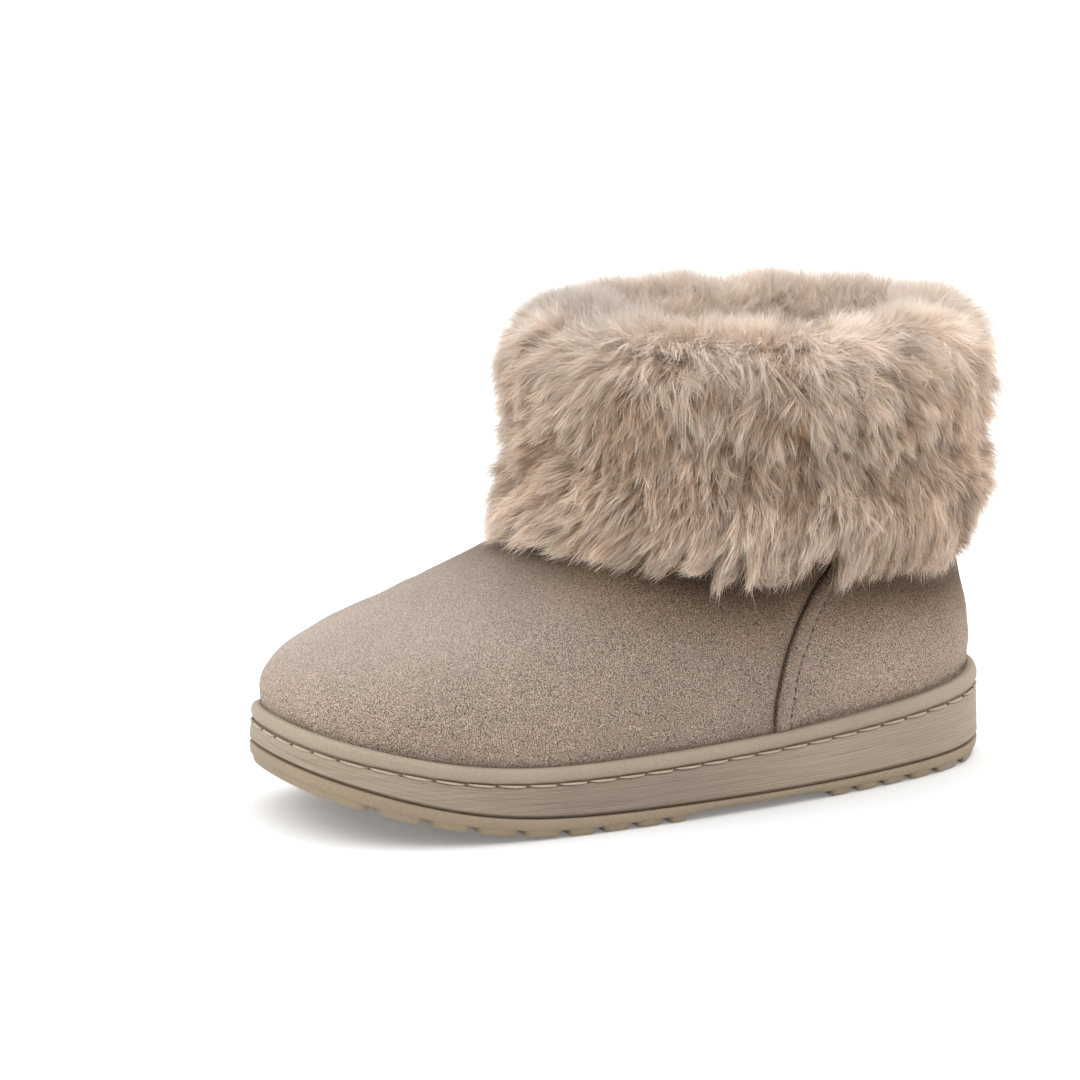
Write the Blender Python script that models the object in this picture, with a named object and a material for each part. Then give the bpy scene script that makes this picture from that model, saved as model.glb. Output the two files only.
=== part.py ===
"""A child's slip-on winter boot with a deep fur cuff: the left boot of a pair, about size EU 25.

The boot stands on its lugs at z = 0 with the toe towards -Y and the outer side towards +X. Lengths in the
tables and constants are millimetres. "Along" is measured from the back of the heel towards the toe, "across"
from the boot's middle line, positive to the outer side, and heights are above the floor. A ring angle of 0 is
the heel, pi is the toe, and the angles between them run along the outer side.
"""

import math

import bmesh
import bpy
import numpy as np

MM = 0.001
GAP = 0.3

# ---------------------------------------------------------------- sole
SOLE_LENGTH = 178.0
TOE_TIP_ACROSS = -3.9
SOLE_PLAN = (
    # place, along, half width to the outer side, half width to the inner side
    ("heel corner", 8.0, 17.0, 17.0),
    ("heel", 32.0, 28.4, 28.2),
    ("waist", 75.0, 35.9, 32.3),
    ("ball", 121.0, 38.0, 37.4),
    ("little toe", 157.0, 31.8, 33.6),
    ("toe corner", 173.5, 17.8, 22.2),
)
SOLE_LINES = (
    # along, height of the tread's top, of the wall's top and of the welt's top
    (0.0, 4.6, 17.2, 21.8),
    (44.0, 3.8, 14.3, 18.2),
    (98.0, 4.0, 12.4, 16.1),
    (142.0, 6.9, 13.8, 17.6),
    (178.0, 16.6, 21.2, 25.0),
)
TOE_BREAK, TOE_SPRING, TOE_SPRING_POWER = 115.0, 12.0, 1.8
HEEL_BREAK, HEEL_LIFT = 12.0, 2.0
SOLE_COLUMNS = 64

LUG_DEPTH = 1.4
LUG_NOTCH = 1.1
LUG_DRAFT = 0.45
LUG_INSET = 1.2
LUG_BURIED = 0.7
FLEX_GROOVE = 3.0
FOREFOOT_CUTS = (164.0, 154.0, 144.0, 133.5, 123.0, 114.5, 106.0, 98.0, 91.5)
HEEL_CUTS = (54.5, 47.0, 39.0, 31.0, 22.5, 13.0)

LEDGE_INSET = 0.2
WALL_GROOVE_DEPTH = 0.9
WALL_GROOVE_HEIGHT = 0.8
STITCH_GROOVE_DEPTH = 0.9
STITCH_GROOVE_HEIGHT = 0.9
WALL_RIBS = 5
RIB_RELIEF = 0.25
WALL_FLARE = 0.4
WELT_WIDTH = 3.0
WELT_PROFILE = (
    # inset from the sole's edge, share of the welt's height
    (0.9, 0.0),
    (0.45, 0.14),
    (0.4, 0.5),
    (0.8, 0.85),
    (1.6, 1.0),
    (2.5, 0.93),
    (WELT_WIDTH, 0.75),
)
INSOLE_THICKNESS = 3.5
INSOLE_SLACK = 0.2

# ---------------------------------------------------------------- upper
WALL = 2.4
UPPER_RINGS = (
    # place, front along and height, back along and height, half width, roundness 0 sole-like to 1 elliptical,
    # share of the welt line's own curve
    ("seat", 174.6, 21.9, 3.4, 18.1, 34.6, 0.00, 1.0),
    ("feather", 174.7, 25.0, 3.3, 22.0, 34.7, 0.00, 1.0),
    ("toe wall", 175.2, 30.0, 2.4, 27.5, 35.3, 0.05, 0.9),
    ("toe box", 172.4, 36.2, 2.8, 33.5, 35.0, 0.20, 0.6),
    ("toe crown", 164.8, 41.6, 3.9, 39.5, 34.0, 0.45, 0.3),
    ("vamp", 153.0, 46.3, 5.2, 45.5, 32.8, 0.70, 0.1),
    ("low instep", 138.5, 51.3, 6.4, 51.5, 32.0, 0.90, 0.0),
    ("instep", 124.5, 57.4, 7.5, 58.0, 32.0, 1.00, 0.0),
    ("throat", 114.0, 65.6, 8.5, 65.5, 32.8, 1.00, 0.0),
    ("shaft", 108.5, 77.0, 9.3, 76.0, 34.0, 1.00, 0.0),
    ("collar", 104.5, 97.0, 11.0, 97.0, 35.5, 1.00, 0.0),
)
UPPER_ROWS = 18
SEAM_FOOT, SEAM_FOOT_HEIGHT = 68.6, 17.0
SEAM_LEAN, SEAM_CURVE = 0.05, 0.0095
SEAM_TOP_HEIGHT = 60.0
SEAM_START_ABOVE_WELT = 0.2
SEAM_PROFILE = (
    # distance behind the lapped edge, height of the raised strip
    (-0.3, 0.0),
    (0.0, 0.9),
    (1.7, 1.1),
    (3.1, 0.6),
    (4.5, 0.8),
    (6.0, 0.1),
)
COLUMNS_BEHIND_SEAM, COLUMNS_BEFORE_SEAM = 8, 14

# ---------------------------------------------------------------- fur cuff
CUFF_COLUMNS_PER_LOCK = 4
CUFF_LOCKS = 21
CUFF_SKIN_GAP = 0.5
CUFF_SLACK_AT_HEM = 1.2
CUFF_RINGS = (
    # place, front along and height, back along and height, half width
    ("inside end", 90.0, 82.0, 26.0, 82.0, 22.5),
    ("inside", 89.0, 93.0, 26.0, 93.0, 22.5),
    ("lip", 91.5, 104.0, 22.0, 104.0, 26.0),
    ("crest", 102.0, 109.8, 13.5, 108.5, 35.0),
    ("shoulder", 113.0, 104.8, 5.2, 102.5, 43.5),
    ("upper swell", 117.0, 94.0, 1.2, 90.5, 46.5),
    ("waist", 115.5, 81.5, 2.6, 75.0, 45.0),
    ("lower swell", 118.0, 72.0, 2.0, 61.0, 46.0),
    ("fringe", 119.0, 67.5, 6.0, 48.5, 42.5),
)
HEM_LINE = (
    # along, height of the fringe: lower before the side seam than behind it
    (6.0, 48.5),
    (22.0, 49.5),
    (42.0, 52.5),
    (57.0, 56.0),
    (63.0, 56.0),
    (67.0, 53.5),
    (84.0, 57.0),
    (98.0, 60.5),
    (110.0, 64.0),
    (119.0, 67.5),
)
CUFF_TIERS_INSIDE, CUFF_TIERS_OUTSIDE = 1, 5
LOCK_ROWS = ((0.05, 0.0), (0.5, 0.75), (0.97, 1.0))
LOCK_HEIGHT, LOCK_DROP = 3.2, 4.5
LOCK_SEED = 11
HEM_ABOVE_FRINGE = 4.0

COLOURS = {
    # material: linear colour, roughness
    "tread rubber": ((0.30, 0.25, 0.18), 0.75),
    "sole rubber": ((0.36, 0.30, 0.22), 0.60),
    "plush": ((0.55, 0.47, 0.38), 0.95),
    "suede": ((0.36, 0.29, 0.23), 0.95),
    "fur": ((0.56, 0.46, 0.37), 0.90),
}


# ---------------------------------------------------------------- curves
def smooth_through(knots, values, at):
    """The natural cubic spline through the values at the knots, read at the places asked for."""
    knots = np.asarray(knots, float)
    values = np.asarray(values, float).reshape(len(knots), -1)
    at = np.atleast_1d(np.asarray(at, float))
    gaps = np.diff(knots)
    slopes = np.diff(values, axis=0) / gaps[:, None]
    system = np.eye(len(knots))
    right = np.zeros_like(values)
    for k in range(1, len(knots) - 1):
        system[k, k - 1 : k + 2] = gaps[k - 1], 2 * (gaps[k - 1] + gaps[k]), gaps[k]
        right[k] = 6 * (slopes[k] - slopes[k - 1])
    bend = np.linalg.solve(system, right)
    span = np.clip(np.searchsorted(knots, at) - 1, 0, len(gaps) - 1)
    step = (at - knots[span])[:, None]
    gap = gaps[span][:, None]
    slope = slopes[span] - gap * (2 * bend[span] + bend[span + 1]) / 6
    curve = step**2 * bend[span] / 2 + step**3 * (bend[span + 1] - bend[span]) / (6 * gap)
    return values[span] + step * slope + curve


def dense_sole_edge(count=2400):
    """Points (along, across) round the sole's edge, from the heel along the outer side and back."""
    outer = [(along, out) for _, along, out, _ in SOLE_PLAN]
    inner = [(along, -width) for _, along, _, width in reversed(SOLE_PLAN)]
    ring = np.array([(0.0, 0.0), *outer, (SOLE_LENGTH, TOE_TIP_ACROSS), *inner])
    wrap = 4
    padded = np.concatenate([ring[-wrap:], ring, ring[: wrap + 1]])
    distance = np.concatenate([[0.0], np.cumsum(np.hypot(*np.diff(padded, axis=0).T))])
    start, end = distance[wrap], distance[wrap + len(ring)]
    return smooth_through(distance, padded, np.linspace(start, end, count, endpoint=False))


EDGE = dense_sole_edge()
EDGE_RUN = np.roll(EDGE, -1, axis=0) - np.roll(EDGE, 1, axis=0)
EDGE_OUTWARD = np.stack([-EDGE_RUN[:, 1], EDGE_RUN[:, 0]], axis=1)
EDGE_OUTWARD /= np.linalg.norm(EDGE_OUTWARD, axis=1)[:, None]


def edge_at(theta, inset):
    """(along, across) at ring angles on the sole's edge moved in by inset."""
    moved = EDGE - EDGE_OUTWARD * inset
    low, high = moved[:, 0].min(), moved[:, 0].max()
    angle = np.arccos(np.clip(1 - 2 * (moved[:, 0] - low) / (high - low), -1, 1))
    toe = moved[:, 0].argmax()
    angle[toe + 1 :] = 2 * math.pi - angle[toe + 1 :]
    order = np.argsort(angle)
    turned = np.mod(theta, 2 * math.pi)
    across = np.interp(turned, angle[order], moved[order, 1], period=2 * math.pi)
    along = (low + high) / 2 - (high - low) / 2 * np.cos(turned)
    return along, across


def sole_lines(along):
    """Heights of the tread's top, the wall's top and the welt's top at places along the sole."""
    table = np.array(SOLE_LINES)
    return smooth_through(table[:, 0], table[:, 1:], np.clip(along, 0, SOLE_LENGTH)).T


def floor_rise(along):
    """How far the underside of the lugs is above the floor: toe spring, and the lift at the heel's end."""
    toe = np.clip((along - TOE_BREAK) / (SOLE_LENGTH - TOE_BREAK), 0, 1)
    heel = np.clip((HEEL_BREAK - along) / HEEL_BREAK, 0, 1)
    return TOE_SPRING * toe**TOE_SPRING_POWER + HEEL_LIFT * heel**2


# ---------------------------------------------------------------- meshes
def world(along, across, height):
    """Rows of x, y, z in metres, with y still counted from the heel."""
    return np.stack(np.broadcast_arrays(across, -np.asarray(along), height), axis=-1) * MM


def add_object(name, points, faces, material, parent):
    mesh = bpy.data.meshes.new(name)
    mesh.from_pydata([tuple(p) for p in points], [], faces)
    body = bmesh.new()
    body.from_mesh(mesh)
    bmesh.ops.recalc_face_normals(body, faces=body.faces)
    if body.calc_volume(signed=True) < 0:
        bmesh.ops.reverse_faces(body, faces=body.faces)
    body.to_mesh(mesh)
    body.free()
    mesh.shade_smooth()
    mesh.set_sharp_from_angle(angle=math.radians(35))
    mesh.materials.append(material)
    obj = bpy.data.objects.new(name, mesh)
    obj.parent = parent
    bpy.context.scene.collection.objects.link(obj)
    return obj


def band_faces(rows, columns, closed):
    """Quads between rings of points, one ring after another, and round to the first ring if closed."""
    faces = []
    for row in range(rows if closed else rows - 1):
        first, second = row * columns, (row + 1) % rows * columns
        for column in range(columns):
            after = (column + 1) % columns
            faces.append((first + column, first + after, second + after, second + column))
    return faces


def cap_faces(first, columns, upward):
    """Quads across one ring, from its outer side to its inner side, from the heel to the toe."""
    faces = [(first + 0, first + 1, first + columns - 1)]
    half = columns // 2
    for k in range(1, half - 1):
        faces.append((first + k, first + k + 1, first + columns - k - 1, first + columns - k))
    faces.append((first + half - 1, first + half, first + half + 1))
    return faces if upward else [face[::-1] for face in faces]


def slab(name, rings, material, parent):
    """A closed solid from rings, bottom to top, with a cap across the lowest and the highest ring."""
    columns = len(rings[0])
    faces = band_faces(len(rings), columns, closed=False)
    faces += cap_faces(0, columns, upward=False)
    faces += cap_faces((len(rings) - 1) * columns, columns, upward=True)
    return add_object(name, np.concatenate(rings), faces, material, parent)


def hoop(name, rings, material, parent):
    """A closed solid from rings that go round a wall's section and meet again."""
    faces = band_faces(len(rings), len(rings[0]), closed=True)
    return add_object(name, np.concatenate(rings), faces, material, parent)


# ---------------------------------------------------------------- sole pieces
def sole_ring(inset, height):
    """One ring round the sole. Height is a function of the tread, wall and welt lines and the floor's rise."""
    theta = np.arange(SOLE_COLUMNS) * 2 * math.pi / SOLE_COLUMNS
    along, across = edge_at(theta, inset)
    tread, wall, welt = sole_lines(along)
    return world(along, across, height(tread, wall, welt, floor_rise(along)))


def lug_block(outline):
    """Points and faces of one lug. The outline is (along, across) of its root; its foot is drawn in all round."""
    root = np.array(outline)
    centre = root.mean(axis=0)
    shrink = 1 - LUG_DRAFT / np.abs(root - centre).max(axis=0)
    foot = centre + (root - centre) * shrink
    top = world(root[:, 0], root[:, 1], floor_rise(root[:, 0]) + LUG_DEPTH + LUG_BURIED)
    bottom = world(foot[:, 0], foot[:, 1], floor_rise(foot[:, 0]))
    count = len(root)
    faces = band_faces(2, count, closed=False)
    for base in (0, count):
        middle = [base + k for k in range(count)]
        for k in range(1, count - 1):
            faces.append((middle[0], middle[k], middle[k + 1]))
    return np.concatenate([bottom, top]), faces


def side_across(along, side):
    """Across of the lugs' outer edge at places along, on the outer (+1) or the inner (-1) side."""
    moved = EDGE - EDGE_OUTWARD * LUG_INSET
    half = moved[moved[:, 1] * side > min(0.0, TOE_TIP_ACROSS * side)]
    order = np.argsort(half[:, 0])
    return np.interp(along, half[order, 0], half[order, 1])


def lug_outlines():
    """Outlines of all lugs: pairs of bars between the cuts, and one horseshoe pad at the toe and at the heel."""
    outlines = []
    for cuts in (FOREFOOT_CUTS, HEEL_CUTS):
        for front, back in zip(cuts, cuts[1:]):
            along = np.linspace(back + LUG_NOTCH / 2, front - LUG_NOTCH / 2, 3)
            for side in (1, -1):
                edge = list(zip(along, side_across(along, side)))
                middle = side * FLEX_GROOVE / 2
                outlines.append([*edge, (along[2], middle), (along[0], middle)])
    for cut, end in ((FOREFOOT_CUTS[0], math.pi), (HEEL_CUTS[-1], 0.0)):
        sweep = np.linspace(-1, 1, 180) * math.pi / 2 + end
        along, across = edge_at(sweep, LUG_INSET + 0.6)
        limit = cut + LUG_NOTCH / 2 * (1 if end else -1)
        beyond = along > limit if end else along < limit
        spaced = np.linspace(0, beyond.sum() - 1, 11).round().astype(int)
        outlines.append(list(zip(along[beyond][spaced], across[beyond][spaced])))
    return outlines


def make_outsole(material, parent):
    slab_under = LUG_DEPTH
    rings = [
        sole_ring(2.2, lambda tread, wall, welt, rise: rise + slab_under),
        sole_ring(0.8, lambda tread, wall, welt, rise: rise + slab_under + 0.35),
        sole_ring(0.1, lambda tread, wall, welt, rise: rise + slab_under + 1.1),
        sole_ring(LEDGE_INSET, lambda tread, wall, welt, rise: tread - GAP),
    ]
    outsole = slab("outsole", rings, material, parent)
    points, faces = [], []
    for outline in lug_outlines():
        block, sides = lug_block(outline)
        faces += [tuple(i + len(points) for i in side) for side in sides]
        points += list(block)
    lugs = add_object("lugs", points, faces, material, parent)
    lugs.hide_render = True
    lugs.display_type = "WIRE"
    union = outsole.modifiers.new("lugs", "BOOLEAN")
    union.operation = "UNION"
    union.object = lugs
    return outsole


def make_midsole(material, parent):
    """The ribbed wall, undercut at its foot and stepped in at its top for the stitches."""
    foot, step = WALL_GROOVE_HEIGHT, STITCH_GROOVE_HEIGHT / 2
    rings = [
        sole_ring(WALL_GROOVE_DEPTH, lambda tread, wall, welt, rise: tread),
        sole_ring(WALL_GROOVE_DEPTH, lambda tread, wall, welt, rise: tread + foot - 0.15),
    ]
    for k in range(2 * WALL_RIBS + 1):
        share = k / (2 * WALL_RIBS)
        inset = RIB_RELIEF * (k % 2) + WALL_FLARE * share
        rings.append(
            sole_ring(
                inset,
                lambda tread, wall, welt, rise: (tread + foot) * (1 - share) + (wall - step - 0.1) * share,
            )
        )
    rings.append(sole_ring(STITCH_GROOVE_DEPTH, lambda tread, wall, welt, rise: wall - step))
    rings.append(sole_ring(STITCH_GROOVE_DEPTH, lambda tread, wall, welt, rise: wall + step - GAP))
    return slab("midsole", rings, material, parent)


def midsole_top(wall):
    return wall + STITCH_GROOVE_HEIGHT / 2 - GAP


def make_welt(material, parent):
    """The rolled strip round the foot of the upper."""
    rings = []
    for inset, share in ((WELT_WIDTH, 0.0), *WELT_PROFILE):
        rings.append(
            sole_ring(
                inset,
                lambda tread, wall, welt, rise: (midsole_top(wall) + GAP) * (1 - share) + welt * share,
            )
        )
    return hoop("welt", rings, material, parent)


def make_insole(material, parent):
    inset = WELT_WIDTH + GAP + WALL + GAP + INSOLE_SLACK
    rings = [
        sole_ring(inset, lambda tread, wall, welt, rise: midsole_top(wall) + GAP),
        sole_ring(inset, lambda tread, wall, welt, rise: midsole_top(wall) + GAP + INSOLE_THICKNESS - 0.8),
        sole_ring(inset + 0.8, lambda tread, wall, welt, rise: midsole_top(wall) + GAP + INSOLE_THICKNESS),
    ]
    return slab("insole", rings, material, parent)


# ---------------------------------------------------------------- upper
RING_TABLE = np.array([row[1:] for row in UPPER_RINGS])
RING_STEPS = np.hypot(*np.diff(RING_TABLE[:, 0:2], axis=0).T) + np.hypot(*np.diff(RING_TABLE[:, 2:4], axis=0).T)
RING_KNOTS = np.concatenate([[0.0], np.cumsum(RING_STEPS)]) / RING_STEPS.sum()
UPPER_INSET = WELT_WIDTH + GAP
BASE_HALF_WIDTH = RING_TABLE[1, 4]


def upper_point(theta, v):
    """(along, across, height) on the upper's outside, at ring angles and at v from 0, its seat, to 1, the collar."""
    v = np.clip(v, 0, 1)
    front, front_z, back, back_z, width, round_, curve = smooth_through(RING_KNOTS, RING_TABLE, v).T
    share = (1 - np.cos(theta)) / 2
    along = back + (front - back) * share
    base_along, base_across = edge_at(theta, UPPER_INSET)
    sole_like = base_across * width / BASE_HALF_WIDTH
    across = sole_like * (1 - round_) + width * np.sin(theta) * round_
    ends = sole_lines(np.array([0.0, SOLE_LENGTH]))[2]
    sag = sole_lines(base_along)[2] - (ends[0] + (ends[1] - ends[0]) * share)
    height = back_z + (front_z - back_z) * share + curve * sag
    return np.stack([along, across, height], axis=-1)


def upper_skin(theta, v, out):
    """Points of the upper's outside moved outward by out."""
    nudge = 1e-3
    points = upper_point(theta, v)
    round_way = upper_point(theta + nudge, v) - upper_point(theta - nudge, v)
    up_way = upper_point(theta, v + nudge) - upper_point(theta, v - nudge)
    outward = np.cross(up_way, round_way)
    outward /= np.linalg.norm(outward, axis=-1)[:, None]
    return points + outward * np.reshape(out, (-1, 1))


def seam_along(height):
    """Where the lapped edge of the side seam is at a height: it leans back, and more so higher up."""
    rise = np.clip(height, SEAM_FOOT_HEIGHT, SEAM_TOP_HEIGHT) - SEAM_FOOT_HEIGHT
    return SEAM_FOOT - SEAM_LEAN * rise - SEAM_CURVE * rise**2


def seam_columns(v):
    """Ring angles of the columns of one row, from the heel to the toe, and the strip's height at each."""
    front, front_z, back, back_z, _, _, curve = smooth_through(RING_KNOTS, RING_TABLE, v)[0]
    lean, guess = 0.0, SEAM_FOOT
    for _ in range(4):
        angle = math.acos(1 - 2 * (guess - back) / (front - back))
        lean = upper_point(np.array([angle]), v)[0, 2]
        guess = float(seam_along(lean))
    strip = [(math.acos(1 - 2 * (guess - behind - back) / (front - back)), rise) for behind, rise in SEAM_PROFILE]
    strip = strip[::-1]
    start = float(sole_lines(guess)[2, 0]) + SEAM_START_ABOVE_WELT
    fade = float(np.clip((SEAM_TOP_HEIGHT - lean) / 3.0, 0, 1) * np.clip((lean - start) / 0.4, 0, 1))
    behind = np.linspace(0, strip[0][0], COLUMNS_BEHIND_SEAM, endpoint=False)
    before = np.linspace(strip[-1][0], math.pi, COLUMNS_BEFORE_SEAM + 1)[1:]
    angles = np.concatenate([behind, [a for a, _ in strip], before])
    rises = np.concatenate([0 * behind, [r * fade for _, r in strip], 0 * before])
    return angles, rises


def upper_row(v, wall):
    """One ring of the upper, with the side seams raised on the outside and the wall's thickness taken inside."""
    angles, rises = seam_columns(v)
    ring = np.concatenate([angles, 2 * math.pi - angles[-2:0:-1]])
    lifts = np.concatenate([rises, rises[-2:0:-1]])
    points = upper_skin(ring, np.full(len(ring), v), -wall if wall else lifts)
    return points


def make_upper(material, parent):
    feather = RING_KNOTS[1]
    outside = np.concatenate([[0.0], np.linspace(feather, 1, UPPER_ROWS), [feather + 0.012]])
    outside = np.sort(outside)
    inside = outside[:0:-2]
    rings = [upper_row(v, 0.0) for v in outside] + [upper_row(v, WALL) for v in (*inside, 0.0)]
    seat = midsole_top(sole_lines(rings[0][:, 0])[1]) + GAP
    rings[0][:, 2] = seat
    rings[-1][:, 2] = seat
    return hoop("upper", [world(*ring.T) for ring in rings], material, parent)


# ---------------------------------------------------------------- fur cuff
def skin_at_height(theta, height, out):
    """Points at a height for each ring angle, on the upper's outside moved outward by out."""
    levels = np.linspace(0.3, 1.0, 60)
    found = []
    for angle, level in zip(theta, np.broadcast_to(height, np.shape(theta))):
        column = upper_point(np.full(len(levels), angle), levels)
        found.append(np.interp(level, column[:, 2], levels))
    return upper_skin(theta, np.array(found), out)


CUFF_TABLE = np.array([row[1:] for row in CUFF_RINGS])
CUFF_STEPS = np.hypot(*np.diff(CUFF_TABLE[:, 0:2], axis=0).T)
CUFF_KNOTS = np.concatenate([[0.0], np.cumsum(CUFF_STEPS)]) / CUFF_STEPS.sum()
CUFF_PLACES = dict(zip([row[0] for row in CUFF_RINGS], CUFF_KNOTS))


def cuff_ring(theta, place):
    """Points (along, across, height) of the fur's plain surface at a place from 0, inside, to 1, the fringe."""
    front, front_z, back, back_z, width = smooth_through(CUFF_KNOTS, CUFF_TABLE, place)[0]
    share = (1 - np.cos(theta)) / 2
    along = back + (front - back) * share
    height = back_z + (front_z - back_z) * share
    hem = np.array(HEM_LINE)
    waist, fringe = CUFF_PLACES["waist"], CUFF_PLACES["fringe"]
    follow = float(np.clip((place - waist) / (fringe - waist), 0, 1))
    level = hem[0, 1] + (hem[-1, 1] - hem[0, 1]) * share
    height = height + follow * (np.interp(along, hem[:, 0], hem[:, 1]) - level)
    return np.stack([along, width * np.sin(theta), height], axis=-1)


def make_cuff(material, parent):
    """The folded fur collar: an arch in section over the shaft's rim, with tiers of locks fused on."""
    columns = CUFF_LOCKS * CUFF_COLUMNS_PER_LOCK
    theta = np.arange(columns) * 2 * math.pi / columns
    crest = CUFF_PLACES["crest"]
    chance = np.random.default_rng(LOCK_SEED)

    def surface(place):
        return cuff_ring(theta, place)

    def outward_at(place):
        low, high = max(place - 0.01, 0.0), min(place + 0.01, 1.0)
        down = surface(high) - surface(low)
        around = np.roll(surface(place), -1, axis=0) - np.roll(surface(place), 1, axis=0)
        out = np.cross(around, down)
        down /= np.linalg.norm(down, axis=1)[:, None]
        return out / np.linalg.norm(out, axis=1)[:, None], down

    rows = []
    tiers = [(crest, 0.0, CUFF_TIERS_INSIDE), (crest, 1.0, CUFF_TIERS_OUTSIDE)]
    for start, end, count in tiers:
        flow = 1 if end > start else -1
        side = []
        for tier in range(count):
            low = start + (end - start) * tier / count
            high = start + (end - start) * (tier + 1) / count
            shift = 2 * (tier % 2)
            lock = (np.arange(columns) + shift) // CUFF_COLUMNS_PER_LOCK % CUFF_LOCKS
            across_lock = (np.arange(columns) + shift) % CUFF_COLUMNS_PER_LOCK / CUFF_COLUMNS_PER_LOCK
            ridge = np.sin(math.pi * across_lock) ** 0.8
            vigour = chance.uniform(0.7, 1.2, CUFF_LOCKS)[lock]
            for part, lift in LOCK_ROWS:
                place = low + (high - low) * part
                out, down = outward_at(place)
                rise = LOCK_HEIGHT * lift * ridge * vigour
                drop = LOCK_DROP * lift * lift * ridge * vigour * flow
                side.append(surface(place) + out * rise[:, None] + down * drop[:, None])
        rows.append(side)
    inside, outside = rows
    collar = RING_TABLE[-1, 1]
    hem_height = surface(1.0)[:, 2] + HEM_ABOVE_FRINGE
    slot_out = []
    for share, slack in ((0.0, CUFF_SLACK_AT_HEM), (0.5, 0.0)):
        height = hem_height + (collar - hem_height) * share
        slot_out.append(skin_at_height(theta, height, CUFF_SKIN_GAP + slack))
    rim_v = np.ones(columns)
    over = upper_skin(theta, rim_v, CUFF_SKIN_GAP)
    over[:, 2] = collar + CUFF_SKIN_GAP
    under = upper_skin(theta, rim_v, -WALL - CUFF_SKIN_GAP)
    under[:, 2] = collar + CUFF_SKIN_GAP
    end = skin_at_height(theta, surface(0.0)[:, 2], -WALL - CUFF_SKIN_GAP)
    end[:, 2] = surface(0.0)[:, 2]
    loop = [*inside[::-1], *outside, *slot_out, over, under, end]
    return hoop("fur_cuff", [world(*ring.T) for ring in loop], material, parent)


# ---------------------------------------------------------------- the boot
def make_material(name):
    colour, roughness = COLOURS[name]
    material = bpy.data.materials.new(name)
    material.use_nodes = True
    shader = material.node_tree.nodes["Principled BSDF"]
    shader.inputs["Base Color"].default_value = (*colour, 1.0)
    shader.inputs["Roughness"].default_value = roughness
    shader.inputs["Metallic"].default_value = 0.0
    return material


def centre_on_origin(parent, pieces):
    """Moves the parent so that the middle of the boot's box, seen from above, is at x = y = 0."""
    corners = np.concatenate([[tuple(v.co) for v in piece.data.vertices] for piece in pieces])
    middle = (corners.min(axis=0) + corners.max(axis=0)) / 2
    parent.location = (-middle[0], -middle[1], 0.0)


def main():
    for obj in list(bpy.data.objects):
        bpy.data.objects.remove(obj)
    boot = bpy.data.objects.new("boot", None)
    bpy.context.scene.collection.objects.link(boot)
    materials = {name: make_material(name) for name in COLOURS}
    pieces = [
        make_outsole(materials["tread rubber"], boot),
        make_midsole(materials["sole rubber"], boot),
        make_welt(materials["sole rubber"], boot),
        make_insole(materials["plush"], boot),
        make_upper(materials["suede"], boot),
        make_cuff(materials["fur"], boot),
    ]
    centre_on_origin(boot, pieces)


main()
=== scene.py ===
"""Looks of the fur-cuffed ankle boot: suede-look upper, ribbed sole, fur cuff, soft studio light.

Lengths in the tables are millimetres. "Along" is measured from the back of the heel to the toe, "across" from the
boot's middle line to the outer side, heights from the floor. Ring angle 0 is the heel and pi the toe.
"""

import math
from types import SimpleNamespace

import bpy
import numpy as np
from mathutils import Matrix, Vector
from mathutils.kdtree import KDTree

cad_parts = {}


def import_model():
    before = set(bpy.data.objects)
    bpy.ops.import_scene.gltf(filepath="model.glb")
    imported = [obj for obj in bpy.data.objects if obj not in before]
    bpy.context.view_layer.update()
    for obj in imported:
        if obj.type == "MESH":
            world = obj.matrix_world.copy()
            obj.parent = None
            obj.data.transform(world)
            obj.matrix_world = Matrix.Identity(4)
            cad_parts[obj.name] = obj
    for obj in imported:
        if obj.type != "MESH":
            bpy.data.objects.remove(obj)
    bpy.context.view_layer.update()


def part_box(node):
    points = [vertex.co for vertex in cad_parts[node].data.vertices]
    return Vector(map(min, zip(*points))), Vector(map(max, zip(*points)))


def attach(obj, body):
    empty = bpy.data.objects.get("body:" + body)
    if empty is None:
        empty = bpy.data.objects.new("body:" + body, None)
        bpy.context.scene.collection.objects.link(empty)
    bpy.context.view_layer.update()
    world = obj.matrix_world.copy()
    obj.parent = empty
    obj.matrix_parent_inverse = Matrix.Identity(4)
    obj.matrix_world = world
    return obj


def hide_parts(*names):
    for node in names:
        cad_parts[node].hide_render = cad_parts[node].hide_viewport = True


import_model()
MM = 0.001
TAU = 2 * math.pi

# ------------------------------------------------------------------ sizes shared with the part's source
SOLE_LENGTH = 178.0
TOE_TIP_ACROSS = -3.9
SOLE_PLAN = (
    # along, half width to the outer side, half width to the inner side
    (8.0, 17.0, 17.0),
    (32.0, 28.4, 28.2),
    (75.0, 35.9, 32.3),
    (121.0, 38.0, 37.4),
    (157.0, 31.8, 33.6),
    (173.5, 17.8, 22.2),
)
SOLE_LINES = (
    # along, height of the tread's top, of the wall's top and of the welt's top
    (0.0, 4.6, 17.2, 21.8),
    (44.0, 3.8, 14.3, 18.2),
    (98.0, 4.0, 12.4, 16.1),
    (142.0, 6.9, 13.8, 17.6),
    (178.0, 16.6, 21.2, 25.0),
)
TOE_BREAK, TOE_SPRING, TOE_SPRING_POWER = 115.0, 12.0, 1.8
HEEL_BREAK, HEEL_LIFT = 12.0, 2.0
LUG_DEPTH, LUG_INSET, FLEX_GROOVE = 1.4, 0.5, 3.0
FOREFOOT_CUTS = (164.0, 154.0, 144.0, 133.5, 123.0, 114.5, 106.0, 98.0, 91.5)
HEEL_CUTS = (54.5, 47.0, 39.0, 31.0, 22.5, 13.0)
WELT_WIDTH, GAP, WALL = 3.0, 0.3, 2.4
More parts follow.
